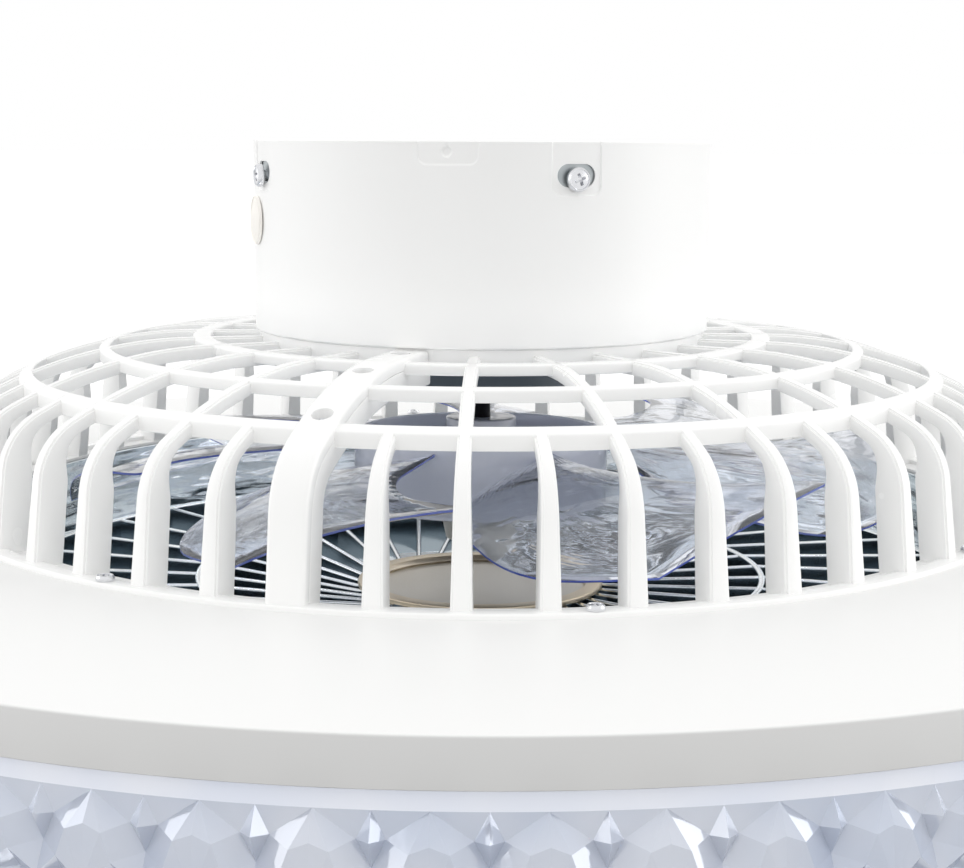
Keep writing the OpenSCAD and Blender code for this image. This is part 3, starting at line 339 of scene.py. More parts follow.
# The grille's chrome: painted shade on its upright sides, a painted highlight where it faces up
finChromePaintedShade = ribChromePaintedShade()
chromeDuct = chromePlate("chromeDuct", "#e9eef1", 0.1, 1.1, 30, (1, 1, 4))
bladeClear = clearPolycarbonate("bladePolycarbonate", "#f4f7ff", 0.04, 0.3, 5, (1, 0.14, 1), "UV")
hubClear = clearPolycarbonate("hubPolycarbonate", "#eef2ff", 0.62, 0.04, 12, (1, 1, 1))
bladeEdge = blueEdge()
crystal = crystalAcrylic()
frostedPaintedGlow = frostedAcrylicPaintedGlow()
opal = opalAcrylic()
creamRubber = softPlastic("creamRubber", "#fffcf6", 0.6)
greyNylon = softPlastic("greyNylon", "#d2d2cc", 0.42)
caseAbs = softPlastic("caseAbs", "#e9eaea", 0.5)
connectorNylon = softPlastic("connectorNylon", "#f0ebdc", 0.45)
wirePvc = softPlastic("wirePvc", "#5a3a2a", 0.45)
whitePvc = softPlastic("whitePvc", "#eceae6", 0.45)
blackPvc = softPlastic("blackPvc", "#1c1c1e", 0.45)
boardMask = softPlastic("whiteSolderMask", "#eeeeea", 0.35, 1.2, 0.01)
phosphor = softPlastic("ledPhosphor", "#f0d878", 0.5)
ferrite = softPlastic("sinteredFerrite", "#232325", 0.55, 0.4, 0.03)
steelStack = laminations()
winding = copperWinding()
print("materials made")

# What keeps its CAD shape gets its finish here

cadFinish = {
    galvanised: ["ceiling_bracket"],
    springSteel: ["shade_clips"],
    caseAbs: ["controller_box", "led_driver", "terminal_block"],
    wirePvc: ["canopy_wires"],
    whitePvc: ["led_lead"],
    blackPvc: ["motor_lead"],
    zincPlate: ["collar_screws", "motor_screws", "housing_screws", "led_board_screws", "drive_pin"],
    motorPaint: ["motor_plate"],
    groundSteel: ["upper_bearing", "lower_bearing", "rotor_core"],
    steelStack: ["stator_core"],
    winding: ["stator_coils"],
    ferrite: ["rotor_magnet"],
    brass: ["thrust_washers"],
    boardMask: ["led_board"],
    phosphor: ["led_chips"],
    connectorNylon: ["led_connector"],
}


def finishCadNodes():
    for material, names in cadFinish.items():
        for name in names:
            mesh = nodes[name].data
            mesh.materials.clear()
            mesh.materials.append(material)


finishCadNodes()
print("CAD nodes finished")

# Mesh helpers


# A point from an angle, a radius and a height
def polar(angle, r, z):
    a = math.radians(angle)
    return Vector((r * math.sin(a), -r * math.cos(a), z)) * mm


# Round the corners of a closed outline; corners are (x, z, radius)
def rounded(corners, steps=3):
    points = []
    count = len(corners)
    for i, (x, z, r) in enumerate(corners):
        here = Vector((x, z))
        back = Vector(corners[i - 1][:2]) - here
        ahead = Vector(corners[(i + 1) % count][:2]) - here
        half = back.angle(ahead) / 2
        reach = min(r / max(math.tan(half), 1e-3), back.length * 0.49, ahead.length * 0.49)
        if r <= 0 or half > math.radians(89):
            points.append(here)
            continue
        start = here + back.normalized() * reach
        end = here + ahead.normalized() * reach
        for k in range(steps + 1):
            t = k / steps
            points.append(start * (1 - t) ** 2 + here * 2 * t * (1 - t) + end * t ** 2)
    return points


def newObject(name, mesh, *materials):
    piece = bpy.data.objects.new(name, mesh)
    scene.collection.objects.link(piece)
    for material in materials:
        mesh.materials.append(material)
    return piece


# Build a mesh from points in metres; faces with a sharp fold stay crisp
def makeMesh(name, points, faces, sharp=35, slots=None):
    mesh = bpy.data.meshes.new(name)
    mesh.from_pydata([tuple(p) for p in points], [], faces)
    if slots:
        mesh.polygons.foreach_set("material_index", slots)
    shape = bmesh.new()
    shape.from_mesh(mesh)
    bmesh.ops.remove_doubles(shape, verts=shape.verts, dist=1e-7)
    bmesh.ops.recalc_face_normals(shape, faces=shape.faces)
    shape.to_mesh(mesh)
    shape.free()
    mesh.polygons.foreach_set("use_smooth", [True] * len(mesh.polygons))
    mesh.set_sharp_from_angle(angle=math.radians(sharp))
    return mesh


# Points and faces of an outline turned round the shaft; an outline that starts on the axis is open
def spinParts(outline, segments):
    closed = all(p[0] > 1e-6 for p in outline)
    points = [polar(360 * i / segments, p[0], p[1]) for i in range(segments) for p in outline]
    n = len(outline)
    faces = []
    for i in range(segments):
        for k in range(n if closed else n - 1):
            a = i * n + k
            b = i * n + (k + 1) % n
            ahead = ((i + 1) % segments - i) * n
            faces.append((a, b, b + ahead, a + ahead))
    return points, faces


def spin(name, outline, segments):
    return makeMesh(name, *spinParts(outline, segments))


def joinParts(parts):
    points = []
    faces = []
    for partPoints, partFaces in parts:
        start = len(points)
        points += partPoints
        faces += [tuple(start + v for v in face) for face in partFaces]
    return points, faces


# Loops of equal length joined to a tube, with its ends filled
def loftParts(loops):
    n = len(loops[0])
    points = [p for loop in loops for p in loop]
    faces = []
    for i in range(len(loops) - 1):
        for k in range(n):
            a = i * n + k
            b = i * n + (k + 1) % n
            faces.append((a, b, b + n, a + n))
    last = (len(loops) - 1) * n
    faces.append(tuple(range(n))[::-1])
    faces.append(tuple(last + k for k in range(n)))
    return points, faces


def turnParts(parts, angle):
    turn = Matrix.Rotation(math.radians(angle), 4, "Z")
    return [turn @ p for p in parts[0]], parts[1]


# Cut one piece out of another and keep a plain mesh
def carve(piece, cutter, sharp=35):
    modifier = piece.modifiers.new("cut", "BOOLEAN")
    modifier.operation = "DIFFERENCE"
    modifier.object = cutter
    modifier.solver = "EXACT"
    result = bpy.data.meshes.new_from_object(piece.evaluated_get(bpy.context.evaluated_depsgraph_get()))
    piece.modifiers.remove(modifier)
    result.name = piece.name
    piece.data = result
    bpy.data.objects.remove(cutter)
    result.polygons.foreach_set("use_smooth", [True] * len(result.polygons))
    result.set_sharp_from_angle(angle=math.radians(sharp))


# Turn a piece's own mesh round the shaft as often as the tree's inputs say
def ringTree():
    tree = bpy.data.node_groups.new("ringOfCopies", "GeometryNodeTree")
    inputs = {"Geometry": "Geometry", "Count": "Int", "First Angle": "Float", "Pitch": "Float",
              "Left Out": "Int", "Weld": "Float", "Material": "Material"}
    for name, kind in inputs.items():
        tree.interface.new_socket(name, in_out="INPUT", socket_type="NodeSocket" + kind)
    tree.interface.new_socket("Geometry", in_out="OUTPUT", socket_type="NodeSocketGeometry")
    given = addNode(tree, "NodeGroupInput")
    seat = addNode(tree, "GeometryNodePoints", {"Count": given.outputs["Count"]})
    index = addNode(tree, "GeometryNodeInputIndex")
    step = addNode(tree, "ShaderNodeMath", {0: index.outputs["Index"], 1: given.outputs["Pitch"],
                                            2: given.outputs["First Angle"]}, operation="MULTIPLY_ADD")
    radians = addNode(tree, "ShaderNodeMath", {0: step.outputs["Value"]}, operation="RADIANS")
    turn = addNode(tree, "ShaderNodeCombineXYZ", {"Z": radians.outputs["Value"]})
    keep = addNode(tree, "FunctionNodeCompare", {"A": index.outputs["Index"],
                                                 "B": given.outputs["Left Out"]},
                   data_type="INT", operation="NOT_EQUAL")
    copies = addNode(tree, "GeometryNodeInstanceOnPoints", {
        "Points": seat.outputs["Points"], "Selection": keep.outputs["Result"],
        "Instance": given.outputs["Geometry"], "Rotation": turn.outputs["Vector"]})
    real = addNode(tree, "GeometryNodeRealizeInstances", {"Geometry": copies.outputs["Instances"]})
    welded = addNode(tree, "GeometryNodeMergeByDistance", {"Geometry": real.outputs["Geometry"],
                                                          "Distance": given.outputs["Weld"]})
    painted = addNode(tree, "GeometryNodeSetMaterial", {"Geometry": welded.outputs["Geometry"],
                                                       "Material": given.outputs["Material"]})
    addNode(tree, "NodeGroupOutput", {"Geometry": painted.outputs["Geometry"]})
    return tree


copiesTree = ringTree()


# A piece made of copies of one mesh; the modifier's result becomes a plain mesh
def ringOf(name, mesh, material, count, first, pitch=None, leftOut=-1, weld=1e-6):
    pattern = newObject(name + "Pattern", mesh, material)
    modifier = pattern.modifiers.new("copies", "NODES")
    modifier.node_group = copiesTree
    values = {"Count": count, "First Angle": first, "Pitch": 360 / count if pitch is None else pitch,
              "Left Out": leftOut, "Weld": weld, "Material": material}
    for item in copiesTree.interface.items_tree:
        if item.in_out == "INPUT" and item.name in values:
            value = values[item.name]
            modifier[item.identifier] = float(value) if item.socket_type == "NodeSocketFloat" else value
    result = bpy.data.meshes.new_from_object(pattern.evaluated_get(bpy.context.evaluated_depsgraph_get()))
    bpy.data.objects.remove(pattern)
    result.name = name
    return newObject(name, result)


def finishPiece(piece, body, slotName, *replaced):
    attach(piece, body)
    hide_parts(*replaced)


# Join several pieces into one object
def joinPieces(name, pieces):
    shape = bmesh.new()
    materials = []
    for piece in pieces:
        offset = len(shape.faces)
        shape.from_mesh(piece.data)
        shape.faces.ensure_lookup_table()
        own = piece.data.materials[0]
        if own not in materials:
            materials.append(own)
        for face in shape.faces[offset:]:
            face.material_index = materials.index(own)
    mesh = bpy.data.meshes.new(name)
    shape.to_mesh(mesh)
    shape.free()
    for piece in pieces:
        bpy.data.objects.remove(piece)
    return newObject(name, mesh, *materials)


print("helpers ready")

# Cage: one moulding of slats, ribs, rings, collar and flange

cageSizes = {
    "slats": 48,
    "firstSlat": -1.56,
    "collarR": 81,
    "collarInnerR": 56,
    "collarT": 3.4,
    "step": 2.2,
    "ringAR": 105.3,
    "ringAW": 6.6,
    "ringAH": 3.6,
    "ringBR": 138.5,
    "ringBW": 4,
    "ringBH": 4,
    "ringSW": 5,
    "ringSH": 5,
    "ringSOffset": 8,
    "footR": 189.6,
    "shoulderR": 22,
    "shoulderTop": 64,
    "straight": 26,
    "lean": 6.6,
    "topW": 4.2,
    "footW": 6.3,
    "slatDepth": 10,
    "ribH": 4.5,
    "edge": 0.9,
    "flangeT": 1.6,
    "flangeIn": 3.2,
    "flangeOut": 3,
    "collarLipW": 4,
    "ribRoot": 1,
    "slatRoot": 3,
}
plateTop = top("base_plate")
canopyFoot = bottom("canopy_drum")


# The cage's outer line, worked out from its sizes
class CageLine:
    def __init__(self, s):
        self.s = s
        self.topZ = canopyFoot - s["step"]
        lean = math.radians(s["lean"])
        self.centre = Vector((
            s["footR"] - s["straight"] * math.tan(lean) - s["shoulderR"] * math.cos(lean),
            plateTop + s["straight"] - s["shoulderR"] * math.sin(lean)))
        a = math.radians(s["shoulderTop"])
        self.domeEnd = self.centre + s["shoulderR"] * Vector((math.cos(a), math.sin(a)))
        run = self.domeEnd.x - s["ringAR"]
        fall = self.topZ - self.domeEnd.y
        self.domeR = (run * run + fall * fall) / (2 * fall)
        self.domeCentre = Vector((s["ringAR"], self.topZ - self.domeR))
        self.domeEndAngle = math.degrees(math.acos(run / self.domeR))
        self.ringSR = self.domeEnd.x - s["ringSOffset"]

    # How far a place has come from the shoulder's start (0) to the straight foot (1)
    def footShare(self, normal):
        turn = math.degrees(math.atan2(normal.y, normal.x))
        share = (self.s["shoulderTop"] - turn) / (self.s["shoulderTop"] - self.s["lean"])
        return min(1, max(0, share))

    # Height of the outer surface on the flat top and the dome
    def height(self, r):
        if r <= self.s["ringAR"]:
            return self.topZ
        return self.domeCentre.y + math.sqrt(self.domeR ** 2 - (r - self.s["ringAR"]) ** 2)

    # Stations from a start radius to the foot: place, outward normal
    def stations(self, startR, domeSteps=12, shoulderSteps=10, footSteps=4, flatSteps=5):
        s = self.s
        rows = []
        if startR < s["ringAR"]:
            for i in range(flatSteps):
                r = startR + (s["ringAR"] - startR) * i / flatSteps
                rows.append((Vector((r, self.topZ)), Vector((0, 1))))
            startAngle = 90
        else:
            startAngle = math.degrees(math.acos((startR - s["ringAR"]) / self.domeR))
        for i in range(domeSteps + 1):
            a = math.radians(startAngle + (self.domeEndAngle - startAngle) * i / domeSteps)
            normal = Vector((math.cos(a), math.sin(a)))
            rows.append((self.domeCentre + self.domeR * normal, normal))
        for i in range(1, shoulderSteps + 1):
            a = math.radians(s["shoulderTop"] + (s["lean"] - s["shoulderTop"]) * i / shoulderSteps)
            normal = Vector((math.cos(a), math.sin(a)))
            rows.append((self.centre + s["shoulderR"] * normal, normal))
        last, normal = rows[-1]
        foot = Vector((s["footR"], plateTop))
        for i in range(1, footSteps + 1):
            rows.append((last.lerp(foot, i / footSteps), normal))
        return rows


cageLine = CageLine(cageSizes)


# A section with rounded outer edges: half width w, depth d, edge radius e, as (side, depth)
def barSection(w, d, e):
    step = e * 0.7
    corners = [(-w + step, 0, e * 0.6), (w - step, 0, e * 0.6), (w - step, step, 0.1), (w, step + 0.1, 0.3),
               (w, d, e * 0.6), (-w, d, e * 0.6), (-w, step + 0.1, 0.3), (-w + step, step, 0.1)]
    return rounded(corners, 2)


# A bar along the cage's outer line: at each station, outlineAt gives its outline as (side, depth)
def barAlong(stations, outlineAt, lowest):
    loops = []
    for place, normal in stations:
        loop = []
        for side, depth in outlineAt(place, normal):
            spot = place - normal * depth
            loop.append(Vector((side * mm, -spot.x * mm, max(spot.y, lowest) * mm)))
        loops.append(loop)
    return loftParts(loops)


# One slat in the plane x = 0 at the front, from a start radius down to the plate
def slatParts(startR, s):
    shoulderZ = cageLine.centre.y + s["shoulderR"]

    # Wider towards the foot; below the shoulder ring the slat deepens inwards
    def outlineAt(place, normal):
        share = min(1, max(0, (shoulderZ - place.y) / (shoulderZ - plateTop)))
        deep = cageLine.footShare(normal)
        width = s["topW"] + (s["footW"] - s["topW"]) * share
        depth = s["ribH"] + (s["slatDepth"] - s["ribH"]) * deep * deep * (3 - 2 * deep)
        return barSection(width / 2, depth, s["edge"])

    return barAlong(cageLine.stations(startR), outlineAt, plateTop)


def ringBar(r, width, height, edge):
    slope = (cageLine.height(r) - cageLine.height(r - width)) / width
    corners = [(r - width, cageLine.height(r - width), edge), (r, cageLine.height(r), edge),
               (r, cageLine.height(r) - height, edge * 0.6),
               (r - width, cageLine.height(r) - slope * width - height, edge * 0.6)]
    return spinParts(rounded(corners), 240)


def makeCage(s):
    rib = makeMesh("ribPattern", *slatParts(s["collarR"] - s["ribRoot"], s))
    shortSlat = makeMesh("slatPattern", *slatParts(cageLine.ringSR - s["slatRoot"], s))
    pitch = 360 / s["slats"]
    ribs = ringOf("cageRibs", rib, cageAbs, s["slats"] // 2, s["firstSlat"], 2 * pitch,
                  leftOut=s["slats"] // 2 - 1)
    shorts = ringOf("cageSlats", shortSlat, cageAbs, s["slats"] // 2, s["firstSlat"] + pitch, 2 * pitch)
    r = s["collarR"]
    lip = r - s["collarLipW"]
    topZ = canopyFoot
    collar = [(s["collarInnerR"], topZ, 0.4), (r, topZ, 0.8), (r, cageLine.topZ - s["ribH"], 0.8),
              (lip, cageLine.topZ - s["ribH"], 0.6), (lip, topZ - s["collarT"], 0.6),
              (s["collarInnerR"], topZ - s["collarT"], 0.4)]
    foot = s["footR"]
    flange = [(foot - s["flangeIn"], plateTop, 0), (foot + s["flangeOut"], plateTop, 0),
              (foot + s["flangeOut"], plateTop + s["flangeT"], 0.9),
              (foot - s["flangeIn"], plateTop + s["flangeT"], 0.5)]
    bars = joinParts([
        ringBar(s["ringAR"], s["ringAW"], s["ringAH"], s["edge"]),
        ringBar(s["ringBR"], s["ringBW"], s["ringBH"], s["edge"]),
        ringBar(cageLine.ringSR, s["ringSW"], s["ringSH"], s["edge"]),
        spinParts(rounded(collar), 192),
        spinParts(rounded(flange), 240),
    ])
    rings = newObject("cageRings", makeMesh("cageRings", *bars), cageAbs)
    cage = joinPieces("cageMoulding", [rings, ribs, shorts, makeConduit(s)])
    finishPiece(cage, "housing", "white_abs", "cage")


conduitSizes = {
    "angle": -16.56,
    "width": 12,
    "cover": 2.4,
    "rise": 1.5,
    "depth": 10,
    "footDepth": 11.5,
    "edge": 1.4,
    "screws": (91, 126.3, 160.5),
    "root": 2,
    "gap": 0.1,
    "pocketR": 3.3,
    "pocketDepth": 1,
    "cutterH": 8,
}


# The trough under the conduit's cover
def makeConduit(s):
    c = conduitSizes
    w = c["width"] / 2

    def outlineAt(place, normal):
        d = c["depth"] + (c["footDepth"] - c["depth"]) * cageLine.footShare(normal)
        return rounded([(-w, c["cover"], 0.2), (w, c["cover"], 0.2), (w, d, 1), (-w, d, 1)])

    bar = barAlong(cageLine.stations(s["collarR"] - c["root"]), outlineAt, plateTop)
    return newObject("cageConduit", makeMesh("cageConduit", *turnParts(bar, c["angle"])), cageAbs)


makeCage(cageSizes)
print("cage made")


# The conduit's cover, which stands proud of the cage's rings and has deep screw pockets
def makeConduitCover(c):
    w = c["width"] / 2
    inner = c["cover"] - c["gap"]
    outline = rounded([(-w, -c["rise"], c["edge"]), (w, -c["rise"], c["edge"]), (w, inner, 0.2),
                       (-w, inner, 0.2)], 4)
    stations = cageLine.stations(cageSizes["collarR"] + c["gap"], domeSteps=24)
    bar = barAlong(stations, lambda place, normal: outline, plateTop + cageSizes["flangeT"])
    parts = turnParts(bar, c["angle"])
    cover = newObject("conduitCover", makeMesh("conduitCover", *parts), cageAbs)
    cutters = []
    for r in c["screws"]:
        floor = cageLine.height(r) - c["pocketDepth"]
        high = floor + c["cutterH"]
        pocket = [Vector((0, floor)), Vector((c["pocketR"], floor)), Vector((c["pocketR"], high)),
                  Vector((0, high))]
        points, faces = spinParts(pocket, 48)
        place = polar(c["angle"], r, 0)
        cutters.append(([p + place for p in points], faces))
    cutter = newObject("pocketCutter", makeMesh("pocketCutter", *joinParts(cutters)))
    carve(cover, cutter)
    finishPiece(cover, "housing", "white_abs", "conduit_cover")


makeConduitCover(conduitSizes)
print("conduit cover made")

# Canopy drum with its slots and the shallow pressings round them

drumSizes = {
    "r": 82.6,
    "wall": 1.2,
    "rimEdge": 0.3,
    "footEdge": 0.8,
    "slots": 4,
    "slotW": 13.5,
    "slotH": 7.5,
    "slotDrop": 11,
    "firstSlot": 22,
    "recessHalfW": 8.7,
    "recessLow": -17.4,
    "recessDepth": 0.5,
    "recessCorner": 3,
    "panelAngle": -7.75,
    "panelHalfW": 9.9,
    "panelLow": -7.6,
    "panelDepth": 0.3,
    "dimple": (-0.4, -3.5, 1.5),
    "dimpleDepth": 0.7,
    "pressEdge": 0.5,
    "dimpleEdge": 0.9,
    "recessInsets": (0, 0.8, 1.8),
    "recessRises": (0, 1, 2),
    "panelInsets": (0, 0.9, 1.9),
    "panelRises": (0, 1, 2.2),
    "dimpleAcross": (-1.2, 0, 1.2),
    "dimpleUp": (-0.9, 0.1, 1.1),
    "plugAngle": -73,
    "plugDrop": 28,
    "plugHoleR": 6,
    "floorHoleR": 12,
    "cutFrom": 76,
    "cutTo": 90,
    # Mesh steps: coarse, fine, and how far the fine ones reach; round the wall the coarse one is in degrees
    "roundSteps": (2, 0.2, 0.6),
    "lastAngle": 359.5,
    "upSteps": (2.5, 0.25, 0.7),
}


def smooth(x, width):
    t = min(1, max(0, x / width + 0.5))
    return t * t * (3 - 2 * t)


# How far a point lies inside an outline that opens at the rim and has two round lower corners
def inside(across, z, halfW, low, corner):
    toCorner = Vector((max(0, abs(across) - halfW + corner), max(0, low + corner - z))).length
    return min(halfW - abs(across), z - low, corner - toCorner)


def slotAngles(s):
    return [s["firstSlot"] + 360 / s["slots"] * i for i in range(s["slots"])]


def arcAcross(angle, middle, r):
    return math.radians((angle - middle + 180) % 360 - 180) * r


# Depth of the shallow pressings: a recess round each slot, and a plain panel with a dimple
def pressing(angle, z, s):
    corner = s["recessCorner"]
    lift = 0
    for middle in slotAngles(s):
        across = arcAcross(angle, middle, s["r"])
        depthIn = inside(across, z, s["recessHalfW"], s["recessLow"], corner)
        lift -= s["recessDepth"] * smooth(depthIn, s["pressEdge"])
    across = arcAcross(angle, s["panelAngle"], s["r"])
    depthIn = inside(across, z, s["panelHalfW"], s["panelLow"], corner)
    lift -= s["panelDepth"] * smooth(depthIn, s["pressEdge"])
    x, y, r = s["dimple"]
    lift -= s["dimpleDepth"] * smooth(r - math.hypot(across - x, z - y), s["dimpleEdge"])
    return lift


# Places along the wall: a coarse step, and a fine one round each edge of the pressings
def wallStops(low, high, coarse, fine, reach, edges):
    stops = [low + coarse * i for i in range(int((high - low) / coarse) + 1)]
    for edge in edges:
        steps = round(2 * reach / fine)
        stops += [edge - reach + fine * i for i in range(steps + 1)]
    kept = []
    for stop in sorted(stops):
        if low <= stop <= high and (not kept or stop - kept[-1] > fine * 0.6):
            kept.append(stop)
    return kept


# Places at given distances inside both edges of a strip
def bothSides(halfW, insets):
    return [side * (halfW - inset) for side in (-1, 1) for inset in insets]


def makeDrum(s):
    foot = canopyFoot
    degreesPerMm = 1 / math.radians(s["r"])
    edges = []
    for middle in slotAngles(s):
        for across in bothSides(s["recessHalfW"], s["recessInsets"]):
            edges.append((middle + across * degreesPerMm) % 360)
    dimple = [s["dimple"][0] + across for across in s["dimpleAcross"]]
    for across in bothSides(s["panelHalfW"], s["panelInsets"]) + dimple:
        edges.append((s["panelAngle"] + across * degreesPerMm) % 360)
    coarse, fine, reach = s["roundSteps"]
    angles = wallStops(0, s["lastAngle"], coarse, fine * degreesPerMm, reach * degreesPerMm, edges)
    heights = [s["recessLow"] + rise for rise in s["recessRises"]]
    heights += [s["panelLow"] + rise for rise in s["panelRises"]]
    heights += [s["dimple"][1] + rise for rise in s["dimpleUp"]]
    rim = s["rimEdge"]
    rowsZ = wallStops(foot + s["footEdge"], -2 * rim, *s["upSteps"], heights)[::-1]
    r = s["r"]
    outline = [(r - rim, 0, True), (r, -rim, True)] + [(r, z, True) for z in rowsZ]
    for k in range(1, 5):
        a = math.radians(90 * k / 4)
        outline.append((r - s["footEdge"] * (1 - math.cos(a)),
                        foot + s["footEdge"] * (1 - math.sin(a)), False))
    outline += [(s["floorHoleR"], foot, False), (s["floorHoleR"], foot + s["wall"], False),
                (r - s["wall"], foot + s["wall"], False), (r - s["wall"], 0, False)]
    n = len(outline)
    points = []
    faces = []
    for i, angle in enumerate(angles):
        for place, z, pressed in outline:
            points.append(polar(angle, place + (pressing(angle, z, s) if pressed else 0), z))
        for k in range(n):
            a = i * n + k
            b = i * n + (k + 1) % n
            ahead = ((i + 1) % len(angles) - i) * n
            faces.append((a, b, b + ahead, a + ahead))
    drum = newObject("canopyDrum", makeMesh("canopyDrum", points, faces, 40), canopyPaint)
    carve(drum, drumCutter(s))
    finishPiece(drum, "housing", "white_steel", "canopy_drum")


# A bar across the drum's wall at an angle, from an outline in the wall's plane
def wallBar(angle, drop, outline, startR, endR):
    loops = [[Vector((x, -r, z - drop)) * mm for x, z in outline] for r in (startR, endR)]
    return turnParts(loftParts(loops), angle)


# Points of an arc round a place, from one angle to another
def arc(x, r, first, last, steps):
    turns = [math.radians(first + (last - first) * k / steps) for k in range(steps + 1)]
    return [(x + r * math.cos(a), r * math.sin(a)) for a in turns]


def drumCutter(s):
    half = s["slotH"] / 2
    reach = (s["slotW"] - s["slotH"]) / 2
    slot = arc(reach, half, -90, 90, 24) + arc(-reach, half, 90, 270, 24)
    hole = arc(0, s["plugHoleR"], 0, 360, 48)[:-1]
    bars = [wallBar(angle, s["slotDrop"], slot, s["cutFrom"], s["cutTo"]) for angle in slotAngles(s)]
    bars.append(wallBar(s["plugAngle"], s["plugDrop"], hole, s["cutFrom"], s["cutTo"]))
    return newObject("drumCutter", makeMesh("drumCutter", *joinParts(bars)))


makeDrum(drumSizes)
print("canopy drum made")

# Base plate

plateSizes = {
    "holeR": 179.5,
    "outerR": 292.6,
    "flare": 0.7,
    "sheet": 1.2,
    "edge": 0.8,
}


def makePlate(s):
    low = bottom("base_plate")
    outer = s["outerR"]
    outline = rounded([
        (s["holeR"], plateTop - s["sheet"], 0.2), (s["holeR"], plateTop, 0.3),
        (outer, plateTop, s["edge"]), (outer + s["flare"], low, 0.3),
        (outer + s["flare"] - s["sheet"], low, 0.3),
        (outer - s["sheet"], plateTop - s["sheet"], 0.4)], 5)
    plate = newObject("basePlate", spin("basePlate", outline, 360), plateCoatPaintedShade)
    finishPiece(plate, "housing", "white_steel", "base_plate")


makePlate(plateSizes)
print("base plate made")

# Crystal ring: a smooth band with large cut fans and small diamonds under it

crystalSizes = {
    "count": 69,
    "firstFan": -2.12,
    "bandR": 291,
    "bandH": 5.5,
    "wall": 3,
    "slopeH": 12,
    "footR": 288.5,
    "relief": 7.4,
    "lipW": 8,
    "lipT": 2,
    "beadRise": 1,
    "beadW": 2,
    "beadH": 1.6,
}


def makeCrystals(s):
    high = top("crystal_ring")
    low = bottom("crystal_ring")
    bandLow = bottom("base_plate") - s["bandH"]
    rows = bandLow - low
    half = 180 / s["count"]
    inner = s["bandR"] - s["wall"]
    bead = bottom("base_plate") + s["beadRise"]
    # Points of one cut cell: share of the half pitch, share of the height, share of the relief
    cell = {
        "apex": (0, 0, 0), "shoulder": (0.5, 0, 0), "diamondTop": (1, 0, 0),
        "fold": (0.74, 0.16, 0.12), "ray": (0.34, 0.2, 0.74), "ridge": (0, 0.16, 0.66),
        "diamond": (1, 0.15, 0.62), "heart": (0, 0.5, 1), "wing": (0.52, 0.36, 0.82),
        "waist": (1, 0.33, 0.1), "side": (1, 0.5, 0.62), "cleft": (0.56, 0.5, 0.3),
    }
    upper = [
        ("apex", "ridge", "ray"), ("apex", "ray", "fold"), ("apex", "fold", "shoulder"),
        ("shoulder", "fold", "diamondTop"), ("diamondTop", "fold", "diamond"), ("fold", "waist", "diamond"),
        ("ridge", "heart", "ray"), ("ray", "heart", "wing"), ("ray", "wing", "fold"),
        ("fold", "wing", "waist"), ("wing", "side", "waist"), ("wing", "cleft", "side"),
        ("wing", "heart", "cleft"),
    ]
    points = []
    faces = []
    for mirror in (1, -1):
        for flip in (1, -1):
            for names in upper:
                start = len(points)
                for name in names:
                    u, v, w = cell[name]
                    share = v if flip == 1 else 1 - v
                    base = s["bandR"] + (s["footR"] - s["bandR"]) * share
                    r = base + s["relief"] * w
                    points.append(polar(mirror * u * half, r, bandLow - rows * share))
                faces.append((start, start + 1, start + 2))
    # Smooth faces of the sector: band, lip, inner wall and bead
    lipR = s["footR"] - s["lipW"]
    lipTop = low + s["lipT"]
    beadR = inner - s["beadW"]
    line = [(s["footR"], low), (lipR, low), (lipR, lipTop), (s["footR"] - s["wall"], lipTop),
            (inner, bandLow - s["slopeH"]), (inner, bead - s["beadH"]), (beadR, bead - s["beadH"]),
            (beadR, bead), (inner, bead), (inner, high), (s["bandR"], high), (s["bandR"], bandLow)]
    shares = [-1, -0.5, 0, 0.5, 1]
    for here, ahead in zip(line, line[1:]):
        for left, right in zip(shares, shares[1:]):
            start = len(points)
            points += [polar(left * half, *here), polar(left * half, *ahead),
                       polar(right * half, *ahead), polar(right * half, *here)]
            faces.append((start, start + 1, start + 2, start + 3))
    mesh = bpy.data.meshes.new("crystalCell")
    mesh.from_pydata([tuple(p) for p in points], [], faces)
    ring = ringOf("crystalRing", mesh, crystal, s["count"], s["firstFan"], weld=2e-5)
    shape = bmesh.new()
    shape.from_mesh(ring.data)
    bmesh.ops.recalc_face_normals(shape, faces=shape.faces)
    shape.to_mesh(ring.data)
    shape.free()
    # The smooth band above the crystals gets the acrylic with the painted glow
    ring.data.materials.append(frostedPaintedGlow)
    for face in ring.data.polygons:
        if face.center.z > (bandLow - 0.01) * mm:
            face.material_index = 1
    finishPiece(ring, "housing", "clear_acrylic", "crystal_ring")


makeCrystals(crystalSizes)
print("crystal ring made")

# Diffuser, duct, grille and centre disc

outletSizes = {
    "opalInR": 180.6,
    "opalOutR": 285.2,
    "ductR": 178.5,
    "ductWall": 2,
    "ductFlangeR": 196,
    "ductFootR": 190.5,
    "ductFlangeT": 2,
    "ductGap": 0.1,
    "ledge": 3,
    "ledgeT": 2,
    "rimR": 178.4,
    "rimT": 2.2,
    "midR": 105,
    "midT": 2.3,
    "innerR": 44,
    "innerT": 2.5,
    "dish": 5.8,
    "fins": 36,
    "firstFin": 2,
    "finT": 2,
    "finTopEdge": 0.95,
    "finInset": 0.3,
    "finOffset": 23,
    "finRoot": 1.2,
    "finDipGap": 1,
    "finEnd": 1,
    "discR": 46,
    "discSink": 2,
    "discRim": 7,
    "discRimH": 1.8,
    "discFlareW": 1.2,
    "discSeatW": 2.2,
    "discFootW": 1,
}


